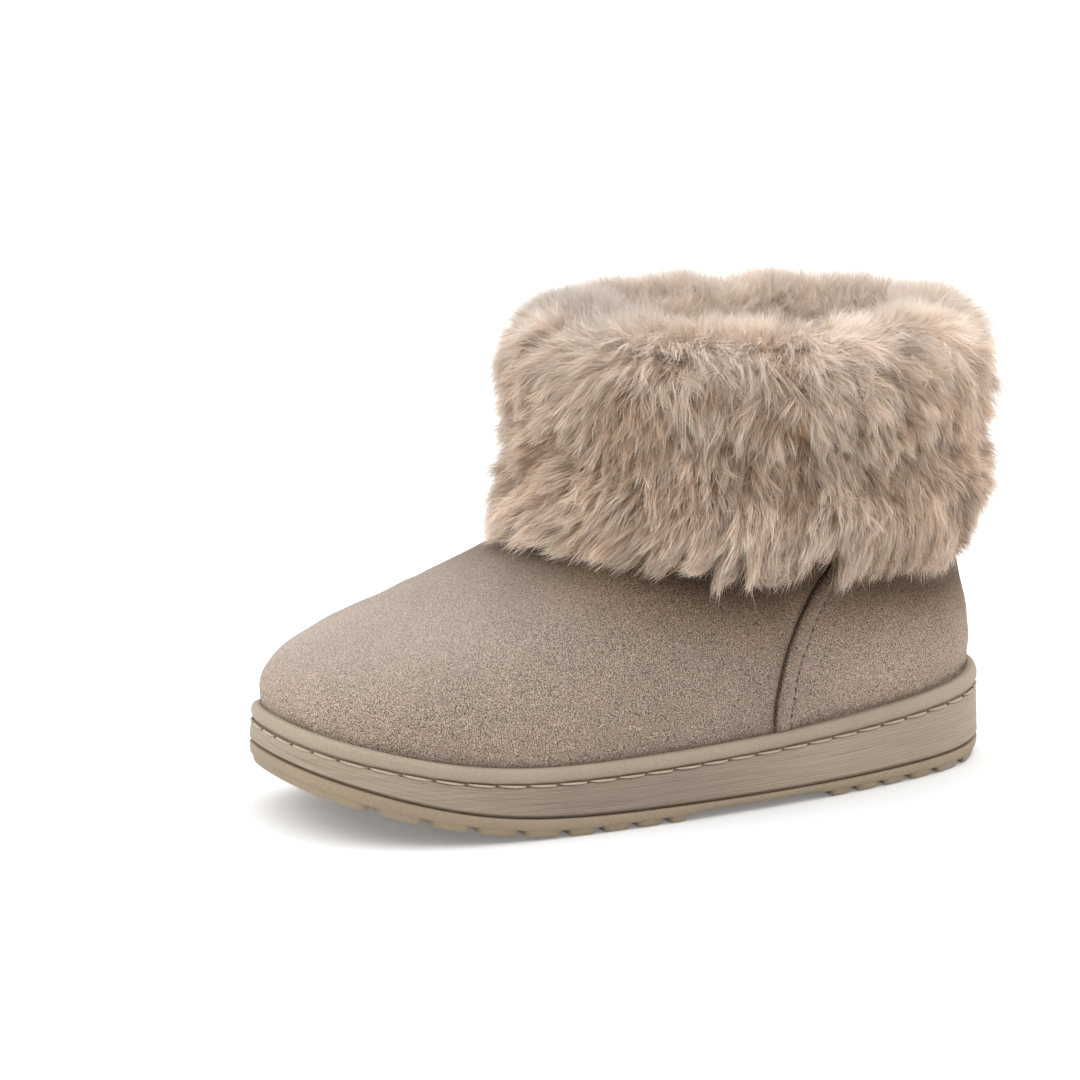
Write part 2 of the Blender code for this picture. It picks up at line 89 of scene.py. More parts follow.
UPPER_RINGS = (
    # front along and height, back along and height, half width, roundness, share of the welt line's curve
    (174.6, 21.9, 3.4, 18.1, 34.6, 0.00, 1.0),
    (174.7, 25.0, 3.3, 22.0, 34.7, 0.00, 1.0),
    (175.2, 30.0, 2.4, 27.5, 35.3, 0.05, 0.9),
    (172.4, 36.2, 2.8, 33.5, 35.0, 0.20, 0.6),
    (164.8, 41.6, 3.9, 39.5, 34.0, 0.45, 0.3),
    (153.0, 46.3, 5.2, 45.5, 32.8, 0.70, 0.1),
    (138.5, 51.3, 6.4, 51.5, 32.0, 0.90, 0.0),
    (124.5, 57.4, 7.5, 58.0, 32.0, 1.00, 0.0),
    (114.0, 65.6, 8.5, 65.5, 32.8, 1.00, 0.0),
    (108.5, 77.0, 9.3, 76.0, 34.0, 1.00, 0.0),
    (104.5, 97.0, 11.0, 97.0, 35.5, 1.00, 0.0),
)
SEAM_FOOT, SEAM_FOOT_HEIGHT, SEAM_TOP, SEAM_LEAN, SEAM_CURVE = 68.6, 17.0, 45.0, 0.05, 0.0095
CUFF_RINGS = (
    # front along and height, back along and height, half width
    (90.0, 82.0, 26.0, 82.0, 22.5),
    (89.0, 93.0, 26.0, 93.0, 22.5),
    (91.5, 104.0, 22.0, 104.0, 26.0),
    (102.0, 109.8, 13.5, 108.5, 35.0),
    (113.0, 104.8, 5.2, 102.5, 43.5),
    (117.0, 94.0, 1.2, 90.5, 46.5),
    (115.5, 81.5, 2.6, 75.0, 45.0),
    (118.0, 72.0, 2.0, 61.0, 46.0),
    (119.0, 67.5, 6.0, 48.5, 42.5),
)
CREST_RING, WAIST_RING = 3, 6
HEM_LINE = (
    # along, height of the fringe
    (6.0, 48.5),
    (22.0, 49.5),
    (42.0, 52.5),
    (57.0, 56.0),
    (63.0, 56.0),
    (67.0, 53.5),
    (84.0, 57.0),
    (98.0, 60.5),
    (110.0, 64.0),
    (119.0, 67.5),
)


# ------------------------------------------------------------------ curves shared with the part's source
def column_at(table, at, column=1, **ends):
    """A column of a table of rows, interpolated at values of its first column."""
    table = np.array(table)
    return np.interp(at, table[:, 0], table[:, column], **ends)


def unit(vectors, least=0.0):
    return vectors / (np.linalg.norm(vectors, axis=-1)[..., None] + least)


def bell(x, centre, width):
    return np.exp(-(((x - centre) / width) ** 2))


def eased(share):
    """A share from 0 to 1 that starts and ends softly."""
    return share * share * (3 - 2 * share)


def smooth_through(knots, values, at):
    """The natural cubic spline through the values at the knots, carried on straight beyond its ends."""
    knots = np.asarray(knots, float)
    values = np.asarray(values, float).reshape(len(knots), -1)
    at = np.atleast_1d(np.asarray(at, float))
    gaps = np.diff(knots)
    slopes = np.diff(values, axis=0) / gaps[:, None]
    system = np.eye(len(knots))
    right = np.zeros_like(values)
    for k in range(1, len(knots) - 1):
        system[k, k - 1 : k + 2] = gaps[k - 1], 2 * (gaps[k - 1] + gaps[k]), gaps[k]
        right[k] = 6 * (slopes[k] - slopes[k - 1])
    bend = np.linalg.solve(system, right)
    held = np.clip(at, knots[0], knots[-1])
    span = np.clip(np.searchsorted(knots, held) - 1, 0, len(gaps) - 1)
    step = (held - knots[span])[:, None]
    gap = gaps[span][:, None]
    slope = slopes[span] - gap * (2 * bend[span] + bend[span + 1]) / 6
    turn = (bend[span + 1] - bend[span]) / gap
    value = values[span] + step * slope + step**2 * bend[span] / 2 + step**3 * turn / 6
    tangent = slope + step * bend[span] + step**2 * turn / 2
    return value + (at - held)[:, None] * tangent


def dense_sole_edge(count=4800):
    outer = [(along, out) for along, out, _ in SOLE_PLAN]
    inner = [(along, -width) for along, _, width in reversed(SOLE_PLAN)]
    ring = np.array([(0.0, 0.0), *outer, (SOLE_LENGTH, TOE_TIP_ACROSS), *inner])
    padded = np.concatenate([ring[-4:], ring, ring[:5]])
    distance = np.concatenate([[0.0], np.cumsum(np.hypot(*np.diff(padded, axis=0).T))])
    return smooth_through(distance, padded, np.linspace(distance[4], distance[4 + len(ring)], count, endpoint=False))


EDGE = dense_sole_edge()
EDGE_RUN = np.roll(EDGE, -1, axis=0) - np.roll(EDGE, 1, axis=0)
EDGE_OUTWARD = unit(np.stack([-EDGE_RUN[:, 1], EDGE_RUN[:, 0]], axis=1))
EDGE_DISTANCE = np.concatenate([[0.0], np.cumsum(np.hypot(*np.diff(EDGE, axis=0).T))])
EDGE_LENGTH = EDGE_DISTANCE[-1] + float(np.hypot(*(EDGE[0] - EDGE[-1])))
EDGE_TABLES = {}


def edge_table(inset):
    """The sole's edge moved in by inset, as its ends along and its across by ring angle."""
    if inset not in EDGE_TABLES:
        moved = EDGE - EDGE_OUTWARD * inset
        low, high = moved[:, 0].min(), moved[:, 0].max()
        angle = np.arccos(np.clip(1 - 2 * (moved[:, 0] - low) / (high - low), -1, 1))
        toe = moved[:, 0].argmax()
        angle[toe + 1 :] = TAU - angle[toe + 1 :]
        order = np.argsort(angle)
        even = np.arange(7200) * TAU / 7200
        EDGE_TABLES[inset] = low, high, np.interp(even, angle[order], moved[order, 1], period=TAU)
    return EDGE_TABLES[inset]


def edge_at(theta, inset):
    """(along, across) at ring angles on the sole's edge moved in by inset."""
    low, high, table = edge_table(inset)
    place = np.mod(theta, TAU) / TAU * len(table)
    left = np.floor(place).astype(int)
    part = place - left
    across = table[left % len(table)] * (1 - part) + table[(left + 1) % len(table)] * part
    return (low + high) / 2 - (high - low) / 2 * np.cos(theta), across


def edge_by_distance(distance, inset):
    """(along, across) at distances round the sole's edge moved in by inset."""
    place = np.mod(distance, EDGE_LENGTH) / EDGE_LENGTH * len(EDGE)
    low = np.floor(place).astype(int) % len(EDGE)
    part = (place - np.floor(place))[..., None]
    moved = EDGE - EDGE_OUTWARD * np.asarray(inset)
    return moved[low] * (1 - part) + moved[(low + 1) % len(EDGE)] * part


def sole_lines(along):
    table = np.array(SOLE_LINES)
    shape = np.shape(along)
    flat = np.clip(np.ravel(along), 0, SOLE_LENGTH)
    return [column.reshape(shape) for column in smooth_through(table[:, 0], table[:, 1:], flat).T]


LINE_PLACES = np.linspace(0, SOLE_LENGTH, 713)
LINE_TABLE = np.stack(sole_lines(LINE_PLACES), axis=-1)


def floor_rise(along):
    toe = np.clip((along - TOE_BREAK) / (SOLE_LENGTH - TOE_BREAK), 0, 1)
    heel = np.clip((HEEL_BREAK - along) / HEEL_BREAK, 0, 1)
    return TOE_SPRING * toe**TOE_SPRING_POWER + HEEL_LIFT * heel**2


RING_TABLE = np.array(UPPER_RINGS)
RING_STEPS = np.hypot(*np.diff(RING_TABLE[:, 0:2], axis=0).T) + np.hypot(*np.diff(RING_TABLE[:, 2:4], axis=0).T)
RING_KNOTS = np.concatenate([[0.0], np.cumsum(RING_STEPS)]) / RING_STEPS.sum()
RING_PLACES = np.linspace(0, 1, 1601)
RING_SECTIONS = smooth_through(RING_KNOTS, RING_TABLE, RING_PLACES)
UPPER_INSET = WELT_WIDTH + GAP


def section_at(v):
    """The seven columns of the upper's table at v."""
    place = np.clip(v, 0, 1) * (len(RING_PLACES) - 1)
    low = np.minimum(np.floor(place).astype(int), len(RING_PLACES) - 2)
    part = np.asarray(place - low)[..., None]
    return np.moveaxis(RING_SECTIONS[low] * (1 - part) + RING_SECTIONS[low + 1] * part, -1, 0)


def upper_point(theta, v):
    """(along, across, height) on the upper's outside at ring angles, at v from 0, its seat, to 1, the collar."""
    front, front_z, back, back_z, width, round_, curve = section_at(v)
    share = (1 - np.cos(theta)) / 2
    along = back + (front - back) * share
    base_along, base_across = edge_at(theta, UPPER_INSET)
    across = base_across * width / RING_TABLE[1, 4] * (1 - round_) + width * np.sin(theta) * round_
    welt = np.interp(base_along, LINE_PLACES, LINE_TABLE[:, 2])
    sag = welt - (LINE_TABLE[0, 2] + (LINE_TABLE[-1, 2] - LINE_TABLE[0, 2]) * share)
    height = back_z + (front_z - back_z) * share + curve * sag
    return np.stack([along, across, height], axis=-1)


def upper_outward(theta, v):
    nudge = 1e-3
    round_way = upper_point(theta + nudge, v) - upper_point(theta - nudge, v)
    up_way = upper_point(theta, np.clip(v + nudge, 0, 1)) - upper_point(theta, np.clip(v - nudge, 0, 1))
    return unit(np.cross(up_way, round_way))


def seam_slope(height):
    return SEAM_LEAN + 2 * SEAM_CURVE * np.clip(height - SEAM_FOOT_HEIGHT, 0, SEAM_TOP)


def seam_along(height):
    rise = np.clip(height - SEAM_FOOT_HEIGHT, -2, SEAM_TOP)
    return SEAM_FOOT - SEAM_LEAN * rise - SEAM_CURVE * np.maximum(rise, 0) ** 2


# ------------------------------------------------------------------ from millimetres to the frame
def frame_offset():
    """Where along 0, across 0 is in the frame, found from the box of the CAD outsole."""
    low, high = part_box("outsole")
    moved = EDGE - EDGE_OUTWARD * 0.1
    x = (low.x + high.x) / 2 - (moved[:, 1].min() + moved[:, 1].max()) / 2 * MM
    y = (low.y + high.y) / 2 + (moved[:, 0].min() + moved[:, 0].max()) / 2 * MM
    return x, y


OFFSET_X, OFFSET_Y = frame_offset()


def world(points):
    points = np.asarray(points, float)
    x = points[..., 1] * MM + OFFSET_X
    y = OFFSET_Y - points[..., 0] * MM
    return np.stack([x, y, points[..., 2] * MM], axis=-1)


def smooth_noise(seed, size, count=24):
    """A smooth random function of points in millimetres, about -1 to 1, with lumps of the size given."""
    chance = np.random.default_rng(seed)
    waves = chance.normal(size=(count, 3))
    waves *= (TAU / size * chance.uniform(0.55, 1.25, count) / np.linalg.norm(waves, axis=1))[:, None]
    phases = chance.uniform(0, TAU, count)

    def value(points):
        total = np.zeros(points.shape[:-1])
        for wave, phase in zip(waves, phases):
            total += np.sin(points @ wave + phase)
        return total * 1.4 / math.sqrt(count)

    return value


# ------------------------------------------------------------------ mesh and material helpers
def scene_object(name, data):
    obj = bpy.data.objects.new(name, data)
    bpy.context.scene.collection.objects.link(obj)
    return obj


def mesh_object(name, points, polygons, sizes, material, uv=None, colours=None, smooth=True):
    """A mesh from arrays: points in metres, polygon corners end to end, and each polygon's corner count."""
    mesh = bpy.data.meshes.new(name)
    mesh.vertices.add(len(points))
    mesh.vertices.foreach_set("co", np.asarray(points, np.float32).ravel())
    mesh.loops.add(len(polygons))
    mesh.loops.foreach_set("vertex_index", np.asarray(polygons, np.int32))
    mesh.polygons.add(len(sizes))
    sizes = np.asarray(sizes, np.int32)
    mesh.polygons.foreach_set("loop_start", np.concatenate([[0], np.cumsum(sizes)[:-1]]).astype(np.int32))
    mesh.update(calc_edges=True)
    mesh.polygons.foreach_set("use_smooth", np.full(len(sizes), smooth))
    if uv is not None:
        layer = mesh.uv_layers.new(name="UVMap")
        layer.uv.foreach_set("vector", np.asarray(uv, np.float32)[polygons].ravel())
    if colours is not None:
        layer = mesh.color_attributes.new("Col", "FLOAT_COLOR", "POINT")
        rgba = np.concatenate([colours, np.ones((len(colours), 1))], axis=1)
        layer.data.foreach_set("color", rgba.astype(np.float32).ravel())
    mesh.validate(clean_customdata=False)
    mesh.materials.append(material)
    return scene_object(name, mesh)


def grid_quads(rows, columns, wrap=True):
    """The quads (row, column, corner) between rows of points. wrap joins each row's ends."""
    right = np.arange(columns if wrap else columns - 1)
    after = (right + 1) % columns
    base = (np.arange(rows - 1) * columns)[:, None]
    return np.stack([base + right, base + after, base + columns + after, base + columns + right], axis=-1)


def grid_object(name, grid, material, wrap=True, uv=None, colours=None, flip=False):
    """A surface from rows of points (row, column, 3) in millimetres."""
    quads = grid_quads(*grid.shape[:2], wrap)
    if flip:
        quads = quads[..., ::-1]
    quads = quads.reshape(-1, 4)
    flat_uv = None if uv is None else uv.reshape(-1, 2)
    flat_colours = None if colours is None else colours.reshape(-1, 3)
    points = world(grid.reshape(-1, 3))
    return mesh_object(name, points, quads.ravel(), np.full(len(quads), 4), material, flat_uv, flat_colours)


def keep(obj, slot, *nodes):
    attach(obj, "root")
    if nodes:
        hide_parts(*nodes)


class Nodes:
    """A material with one Principled shader, and short ways to add nodes to it."""

    def __init__(self, name, roughness, colour=(0.5, 0.5, 0.5), **sockets):
        self.material = bpy.data.materials.new(name)
        self.material.use_nodes = True
        self.tree = self.material.node_tree
        self.shader = self.tree.nodes["Principled BSDF"]
        self.fill(self.shader, Roughness=roughness, Base_Color=(*colour, 1.0), **sockets)

    def fill(self, node, **inputs):
        """Gives the node's inputs their values or links."""
        for key, value in inputs.items():
            socket = node.inputs[key.replace("_", " ")]
            if isinstance(value, bpy.types.NodeSocket):
                self.tree.links.new(value, socket)
            else:
                socket.default_value = value

    def add(self, kind, **inputs):
        node = self.tree.nodes.new(kind)
        self.fill(node, **inputs)
        return node

    def coordinates(self, kind="Object", scale=(1, 1, 1)):
        source = self.add("ShaderNodeTexCoord").outputs[kind]
        return self.add("ShaderNodeMapping", Vector=source, Scale=scale).outputs["Vector"]

    def noise(self, vector, scale, detail=3.0, roughness=0.55, distortion=0.0):
        values = dict(Scale=scale, Detail=detail, Roughness=roughness, Distortion=distortion)
        return self.add("ShaderNodeTexNoise", Vector=vector, **values).outputs["Fac"]

    def painted(self):
        """The colours that the mesh carries on its points."""
        return self.add("ShaderNodeVertexColor").outputs["Color"]

    def ramp(self, factor, *stops):
        """A colour ramp from (place, colour) stops."""
        node = self.add("ShaderNodeValToRGB", Fac=factor)
        elements = node.color_ramp.elements
        while len(elements) < len(stops):
            elements.new(0.5)
        for element, (place, colour) in zip(elements, stops):
            element.position = place
            element.color = (*colour, 1.0)
        return node.outputs["Color"]

    def multiply(self, first, second, amount=1.0):
        node = self.tree.nodes.new("ShaderNodeMix")
        node.data_type = "RGBA"
        node.blend_type = "MULTIPLY"
        self.fill(node, Factor=amount)
        self.tree.links.new(first, node.inputs[6])
        self.tree.links.new(second, node.inputs[7])
        return node.outputs[2]

    def bump(self, height, distance, strength=1.0, **normal):
        node = self.add("ShaderNodeBump", Height=height, Distance=distance, Strength=strength, **normal)
        return node.outputs["Normal"]

    def finish(self, colour, **normal):
        self.fill(self.shader, Base_Color=colour, **normal)
        return self.material


SUEDE = (0.330, 0.262, 0.211)
RUBBER = (0.370, 0.298, 0.227)
TREAD = (RUBBER[0] * 0.82, RUBBER[1] * 0.80, RUBBER[2] * 0.73)


def scaled(colour, factor):
    return tuple(min(1.0, c * factor) for c in colour)


def suede_material():
    sheen = dict(Sheen_Weight=0.18, Sheen_Roughness=0.5, Sheen_Tint=(1.0, 0.92, 0.86, 1.0))
    made = Nodes("suede_nap", 0.9, SUEDE, Specular_IOR_Level=0.1, **sheen)
    here = made.coordinates()
    grain = made.noise(here, 4100.0, 1.0, 0.5)
    nap = made.noise(here, 1700.0, 2.0, 0.6)
    patch = made.noise(here, 42.0, 3.0, 0.5)
    tone = made.ramp(patch, (0.3, scaled(SUEDE, 0.95)), (0.72, scaled(SUEDE, 1.05)))
    speck = made.ramp(grain, (0.32, (0.18, 0.16, 0.14)), (0.5, (0.96, 0.96, 0.96)), (0.68, (1.86, 1.88, 1.91)))
    tuft = made.ramp(nap, (0.3, (0.90, 0.895, 0.89)), (0.7, (1.09, 1.09, 1.09)))
    normal = made.add("ShaderNodeNewGeometry").outputs["Normal"]
    facing = made.add("ShaderNodeSeparateXYZ", Vector=normal).outputs["Z"]
    # painted shade: the grain is calmer where the suede faces up, stronger on the sides where light grazes the nap
    limits = dict(From_Min=0.25, From_Max=0.85, To_Min=1.0, To_Max=0.6)
    crisp = made.add("ShaderNodeMapRange", Value=facing, **limits).outputs["Result"]
    colour = made.multiply(made.multiply(tone, speck, crisp), tuft)
    rough = made.bump(nap, 0.0003, 0.5, Normal=made.bump(grain, 0.0003, 0.9))
    return made.finish(made.multiply(colour, made.painted()), Normal=rough)


def rubber_material(name, colour, grain_size, depth, shine):
    made = Nodes(name, 0.62, colour, Specular_IOR_Level=shine)
    here = made.coordinates()
    grain = made.noise(here, 1000.0 / grain_size, 3.0, 0.65)
    cloud = made.noise(here, 60.0, 3.0, 0.5)
    tone = made.ramp(cloud, (0.3, scaled(colour, 0.95)), (0.7, scaled(colour, 1.05)))
    speck = made.ramp(grain, (0.3, (0.88, 0.87, 0.86)), (0.7, (1.1, 1.1, 1.1)))
    return made.finish(made.multiply(tone, speck), Normal=made.bump(grain, depth, 0.8))


def wall_material():
    """Sole rubber whose fine moulded lines run round the wall: UV is millimetres round and up."""
    made = Nodes("sole_wall", 0.6, RUBBER, Specular_IOR_Level=0.35)
    lines = made.noise(made.coordinates("UV", (0.035, 1.55, 1.0)), 1.0, 4.0, 0.7)
    fine = made.noise(made.coordinates("UV", (0.11, 3.6, 1.0)), 1.0, 2.0, 0.6)
    grain = made.noise(made.coordinates(), 2600.0, 2.0, 0.6)
    tone = made.ramp(lines, (0.3, scaled(RUBBER, 0.82)), (0.7, scaled(RUBBER, 1.03)))
    bump = made.bump(fine, 0.00018, 0.6, Normal=made.bump(lines, 0.00045, 0.8))
    return made.finish(made.multiply(tone, made.painted()), Normal=made.bump(grain, 0.00006, 0.6, Normal=bump))


def fur_material():
    sheen = dict(Sheen_Weight=0.25, Sheen_Roughness=0.45, Sheen_Tint=(1.0, 0.90, 0.81, 1.0))
    made = Nodes("fur", 0.75, Specular_IOR_Level=0.12, **sheen)
    return made.finish(made.painted())


# ------------------------------------------------------------------ sole
SOLE_STATIONS = 360
RIBS = 12
WALL_PAINTED_SHADE = ((60, 1.03), (95, 0.79), (125, 0.79), (160, 1.03))  # along, painted shade: darker in the wall's middle
RIB_AND_GROOVE_SHADE_TINT = np.array([1.0, 1.12, 1.35])  # painted shade: grooves warmer than ribs
STITCH_PITCH, STITCH_START, STITCH_GAP, HOLE_BEFORE = 7.3, 1.9, 0.55, 0.28
NOTCH = 1.9  # between the lugs, wider than in the solid, as the photo shows it
ARCH_BACK, ARCH_FRONT, ARCH_RISE, ARCH_EASE = 55.4, 90.6, 0.55, 2.2
SOLE_DISTANCES = np.arange(SOLE_STATIONS) * EDGE_LENGTH / SOLE_STATIONS
SOLE_ALONG = edge_by_distance(SOLE_DISTANCES, 0.0)[:, 0]
SOLE_SPOTS = np.column_stack([edge_by_distance(SOLE_DISTANCES, 0.0), np.zeros(SOLE_STATIONS)])


def sole_grid(profile):
    """Rows of points round the sole from the (inset, height) rows that profile yields."""
    place = np.mod(SOLE_DISTANCES, EDGE_LENGTH) / EDGE_LENGTH * len(EDGE)
    index = np.round(place).astype(int) % len(EDGE)
    rows = []
    for inset, height in profile:
        inset = np.broadcast_to(inset, index.shape)[:, None]
        rows.append(np.column_stack([EDGE[index] - EDGE_OUTWARD[index] * inset, np.broadcast_to(height, index.shape)]))
    return np.array(rows)


def across_ring(ring, shares):
    """Points (station, share) on the lines that join the two halves of a ring that starts at the heel."""
    half, shares = len(ring) // 2, shares[None, :, None]
    return ring[:half][:, None] * (1 - shares) + ring[::-1][:half][:, None] * shares


def wall_rows():
    """(inset, height, painted shade) of the wall's rows: tucked in over the tread, ribbed, then the stitch groove."""
    ripple = smooth_noise(5, 30.0)
    drift = smooth_noise(6, 90.0)
    tread, wall, _ = sole_lines(SOLE_ALONG)
    foot, top = tread + 0.75, wall - 0.36
    # painted shade: darker where the wall tucks in over the tread, in the rib valleys and in the stitch groove
    yield 3.0, tread + 0.05, 0.7
    yield 0.85, tread + 0.05, 0.7
    yield 0.8, foot - 0.3, 0.7
    yield 0.35, foot - 0.05, 0.85
    for share in np.arange(RIBS * 3 + 1) / (RIBS * 3):
        wobble = 0.35 * drift(SOLE_SPOTS + np.array([0, 0, share * 60.0]))
        wave = 0.5 - 0.5 * np.cos(TAU * (share * RIBS + wobble))
        depth = 0.09 * (1.0 + 0.6 * ripple(SOLE_SPOTS + np.array([0, 0, 37.0 * round(share * RIBS)])))
        edge = 0.25 * (max(0.0, 1 - share / 0.05) ** 2 + max(0.0, (share - 0.96) / 0.04) ** 2)
        yield 0.42 * share + depth * wave + edge, foot + (top - foot) * share, 1.03 - 0.15 * wave
    yield 0.90, wall - 0.30, 0.72
    yield 1.05, wall, 0.6
    yield 0.95, wall + 0.32, 0.6
    yield 3.0, wall + 0.33, 0.6


def make_wall():
    rows = list(wall_rows())
    grid = sole_grid((inset, height) for inset, height, _ in rows)
    painted_wall_shades = np.array([np.broadcast_to(tone, SOLE_STATIONS) for _, _, tone in rows])[..., None]
    # painted shade by row and along the wall, warmer where darker
    colours = painted_wall_shades**RIB_AND_GROOVE_SHADE_TINT * column_at(WALL_PAINTED_SHADE, grid[..., 0])[..., None]
    from_heel = np.minimum(SOLE_DISTANCES, EDGE_LENGTH - SOLE_DISTANCES)
    uv = np.stack([np.broadcast_to(from_heel, grid.shape[:2]), grid[..., 2]], axis=-1)
    keep(grid_object("midsole_wall", grid, wall_material(), uv=uv, colours=colours), "sole_rubber", "midsole")


def welt_rows():
    """(inset, height) of the welt's rows: the bead, swelling a little, between its two hidden edges."""
    _, wall, welt = sole_lines(SOLE_ALONG)
    low = wall + 0.30
    swell = 0.10 * smooth_noise(8, 22.0)(SOLE_SPOTS)
    turns = 18
    yield 3.0, low
    for k in range(turns + 1):
        angle = math.pi * (-0.42 + 1.34 * k / turns)
        out, up = math.cos(angle), math.sin(angle)
        inset = 1.75 - out * (1.35 if out > 0 else 1.85) - swell * max(out, 0)
        yield inset, (low + welt) / 2 + (welt - low) / 2 * np.clip(up * 1.06, -1, 1) + 0.05 * swell
    yield 3.6, low + 0.4


def make_welt():
    # painted shade: the bead is the wall's rubber made a tenth darker, to temper the light on its top
    material = rubber_material("welt_rubber", scaled(RUBBER, 0.90), 0.42, 0.00010, 0.4)
    keep(grid_object("welt_bead", sole_grid(welt_rows()), material), "sole_rubber", "welt")


def tube(points, radii, sides=8):
    """Points (ring, side, 3) of a tube along a path in millimetres."""
    path = np.asarray(points, float)
    run = unit(np.gradient(path, axis=0))
    side = unit(np.cross(run, (0.0, 0.0, 1.0)))
    up = np.cross(side, run)
    angle = np.arange(sides) * TAU / sides
    ring = side[:, None] * np.cos(angle)[None, :, None] + up[:, None] * np.sin(angle)[None, :, None]
    return path[:, None] + ring * np.asarray(radii)[:, None, None]


def join_tubes(name, tubes, material, colours=None):
    """One mesh of many tubes of the same shape (tube, ring, side, 3), with closed ends left as tapered tips."""
    tubes = np.array(tubes)
    count, rings, sides = tubes.shape[:3]
    base = (np.arange(count) * rings * sides)[:, None, None, None]
    quads = (base + grid_quads(rings, sides)).reshape(-1, 4)[:, ::-1]
    if colours is not None:
        colours = np.repeat(np.asarray(colours), rings * sides, axis=0)
    sizes = np.full(len(quads), 4)
    return mesh_object(name, world(tubes.reshape(-1, 3)), quads.ravel(), sizes, material, colours=colours)


def make_welt_stitches():
    """Long flat stitches lying in the groove under the welt, each dipping into its hole at both ends."""
    chance = np.random.default_rng(3)
    count = round(EDGE_LENGTH / STITCH_PITCH)
    pitch = EDGE_LENGTH / count
    share = np.linspace(0, 1, 9)
    ends = np.abs(2 * share - 1)
    tubes, holes = [], []
    for k in range(count):
        start = k * pitch + STITCH_START
        inset = 0.50 + 0.72 * ends**5 + 0.05 * chance.uniform(-1, 1)
        spot = np.array([edge_by_distance(d, i) for d, i in zip(start + share * (pitch - STITCH_GAP), inset)])
        level = sole_lines(spot[:, 0])[1] + 0.16 * (share - 0.5) + 0.02 * chance.uniform(-1, 1)
        made = tube(np.column_stack([spot, level]), 0.34 * (1 - 0.5 * ends**3), 6)
        made[..., 2] = level[:, None] + (made[..., 2] - level[:, None]) * 0.8
        tubes.append(made)
        middle = start - HOLE_BEFORE
        level = sole_lines(edge_by_distance(middle, 0.62)[0])[1]
        plug = [[*edge_by_distance(middle + step, 0.72), level] for step in (-0.34, -0.17, 0.0, 0.17, 0.34)]
        holes.append(tube(plug, np.array([0.04, 0.24, 0.32, 0.24, 0.04]), 6))
    thread = Nodes("stitch_thread", 0.7, scaled(RUBBER, 1.25))
    twist = thread.noise(thread.coordinates(), 2400.0, 2.0)
    shade = thread.ramp(twist, (0.3, scaled(RUBBER, 1.0)), (0.7, scaled(RUBBER, 1.35)))
    material = thread.finish(shade, Normal=thread.bump(twist, 0.0001, 0.6))
    keep(join_tubes("welt_stitches", tubes, material), "sole_rubber")
    # painted shade: dark plugs stand for the shade inside the stitch holes
    dark = Nodes("stitch_hole_shade", 0.9, scaled(RUBBER, 0.40))
    noise = dark.noise(dark.coordinates(), 1500.0, 2.0)
    dark_tone = dark.ramp(noise, (0.3, scaled(RUBBER, 0.32)), (0.7, scaled(RUBBER, 0.46)))
    keep(join_tubes("welt_stitch_holes", holes, dark.finish(dark_tone)), "sole_rubber")


def side_across(along, side, inset):
    moved = EDGE - EDGE_OUTWARD * inset
    half = moved[moved[:, 1] * side > min(0.0, TOE_TIP_ACROSS * side)]
    order = np.argsort(half[:, 0])
    return np.interp(along, half[order, 0], half[order, 1])


def lug_outlines():
    """Outlines (along, across) of the lugs, one bar on each side of the middle groove, and a pad at each end."""
    outlines = []
    for cuts in (FOREFOOT_CUTS, HEEL_CUTS):
        for front, back in zip(cuts, cuts[1:]):
            along = np.linspace(back + NOTCH / 2, front - NOTCH / 2, 5)
            for side in (1, -1):
                edge = np.column_stack([along, side_across(along, side, LUG_INSET)])
                middle = side * FLEX_GROOVE / 2
                inner = np.column_stack([along[::-1], np.full(5, middle)])
                outlines.append(np.concatenate([edge, inner]))
    for cut, end in ((FOREFOOT_CUTS[0], math.pi), (HEEL_CUTS[-1], 0.0)):
        sweep = np.linspace(-1, 1, 360) * math.pi / 2 + end
        along, across = edge_at(sweep, LUG_INSET + 0.1)
        limit = cut + NOTCH / 2 * (1 if end else -1)
        beyond = np.flatnonzero(along > limit if end else along < limit)
        chosen = beyond[np.linspace(0, len(beyond) - 1, 40).round().astype(int)]
        outlines.append(np.column_stack([along[chosen], across[chosen]]))
    return outlines


def rounded_outline(outline, radius, count=40, fineness=560):
    """The outline resampled evenly with its corners eased."""
    closed = np.concatenate([outline, outline[:1]])
    distance = np.concatenate([[0], np.cumsum(np.hypot(*np.diff(closed, axis=0).T))])
    fine = np.linspace(0, distance[-1], fineness, endpoint=False)
    dense = [np.interp(fine, distance, column) for column in closed.T]
    width = max(1, int(radius / (distance[-1] / fineness)))
    kernel = np.ones(2 * width + 1) / (2 * width + 1)
    soft = [np.convolve(np.concatenate([c[-width:], c, c[:width]]), kernel, "valid") for c in dense]
    return np.column_stack(soft)[:: fineness // count]


def underside(along):
    """The height of the tread's underside between the lugs, higher at the arch."""
    arch = ARCH_RISE * eased(np.clip(np.minimum(along - ARCH_BACK, ARCH_FRONT - along) / ARCH_EASE, 0, 1))
    return floor_rise(along) + LUG_DEPTH + arch


def tread_rows():
    """(inset, height) of the tread's rows, from under the wall down its side and in under it."""
    tread, _, _ = sole_lines(SOLE_ALONG)
    under = underside(SOLE_ALONG)
    yield 2.6, tread - 0.12
    yield 0.5, tread - 0.12
    yield 0.22, tread - 0.16
    yield 0.08, tread - 0.34
    yield 0.1, (under + tread) / 2 + 0.2
    yield 0.16, under + 0.7
    yield 0.42, under + 0.3
    yield 0.9, under + 0.07
    yield 1.6, under
    yield 8.0, under


LUG_SECTION = (
    # how far in from the lug's outline, and how far above the tread's underside
    (-0.15, 0.9),
    (0.0, 0.45),
    (0.18, -0.3),
    (0.3, -0.95),
    (0.48, -1.25),
    (0.9, -1.395),
    (1.9, -1.4),
)


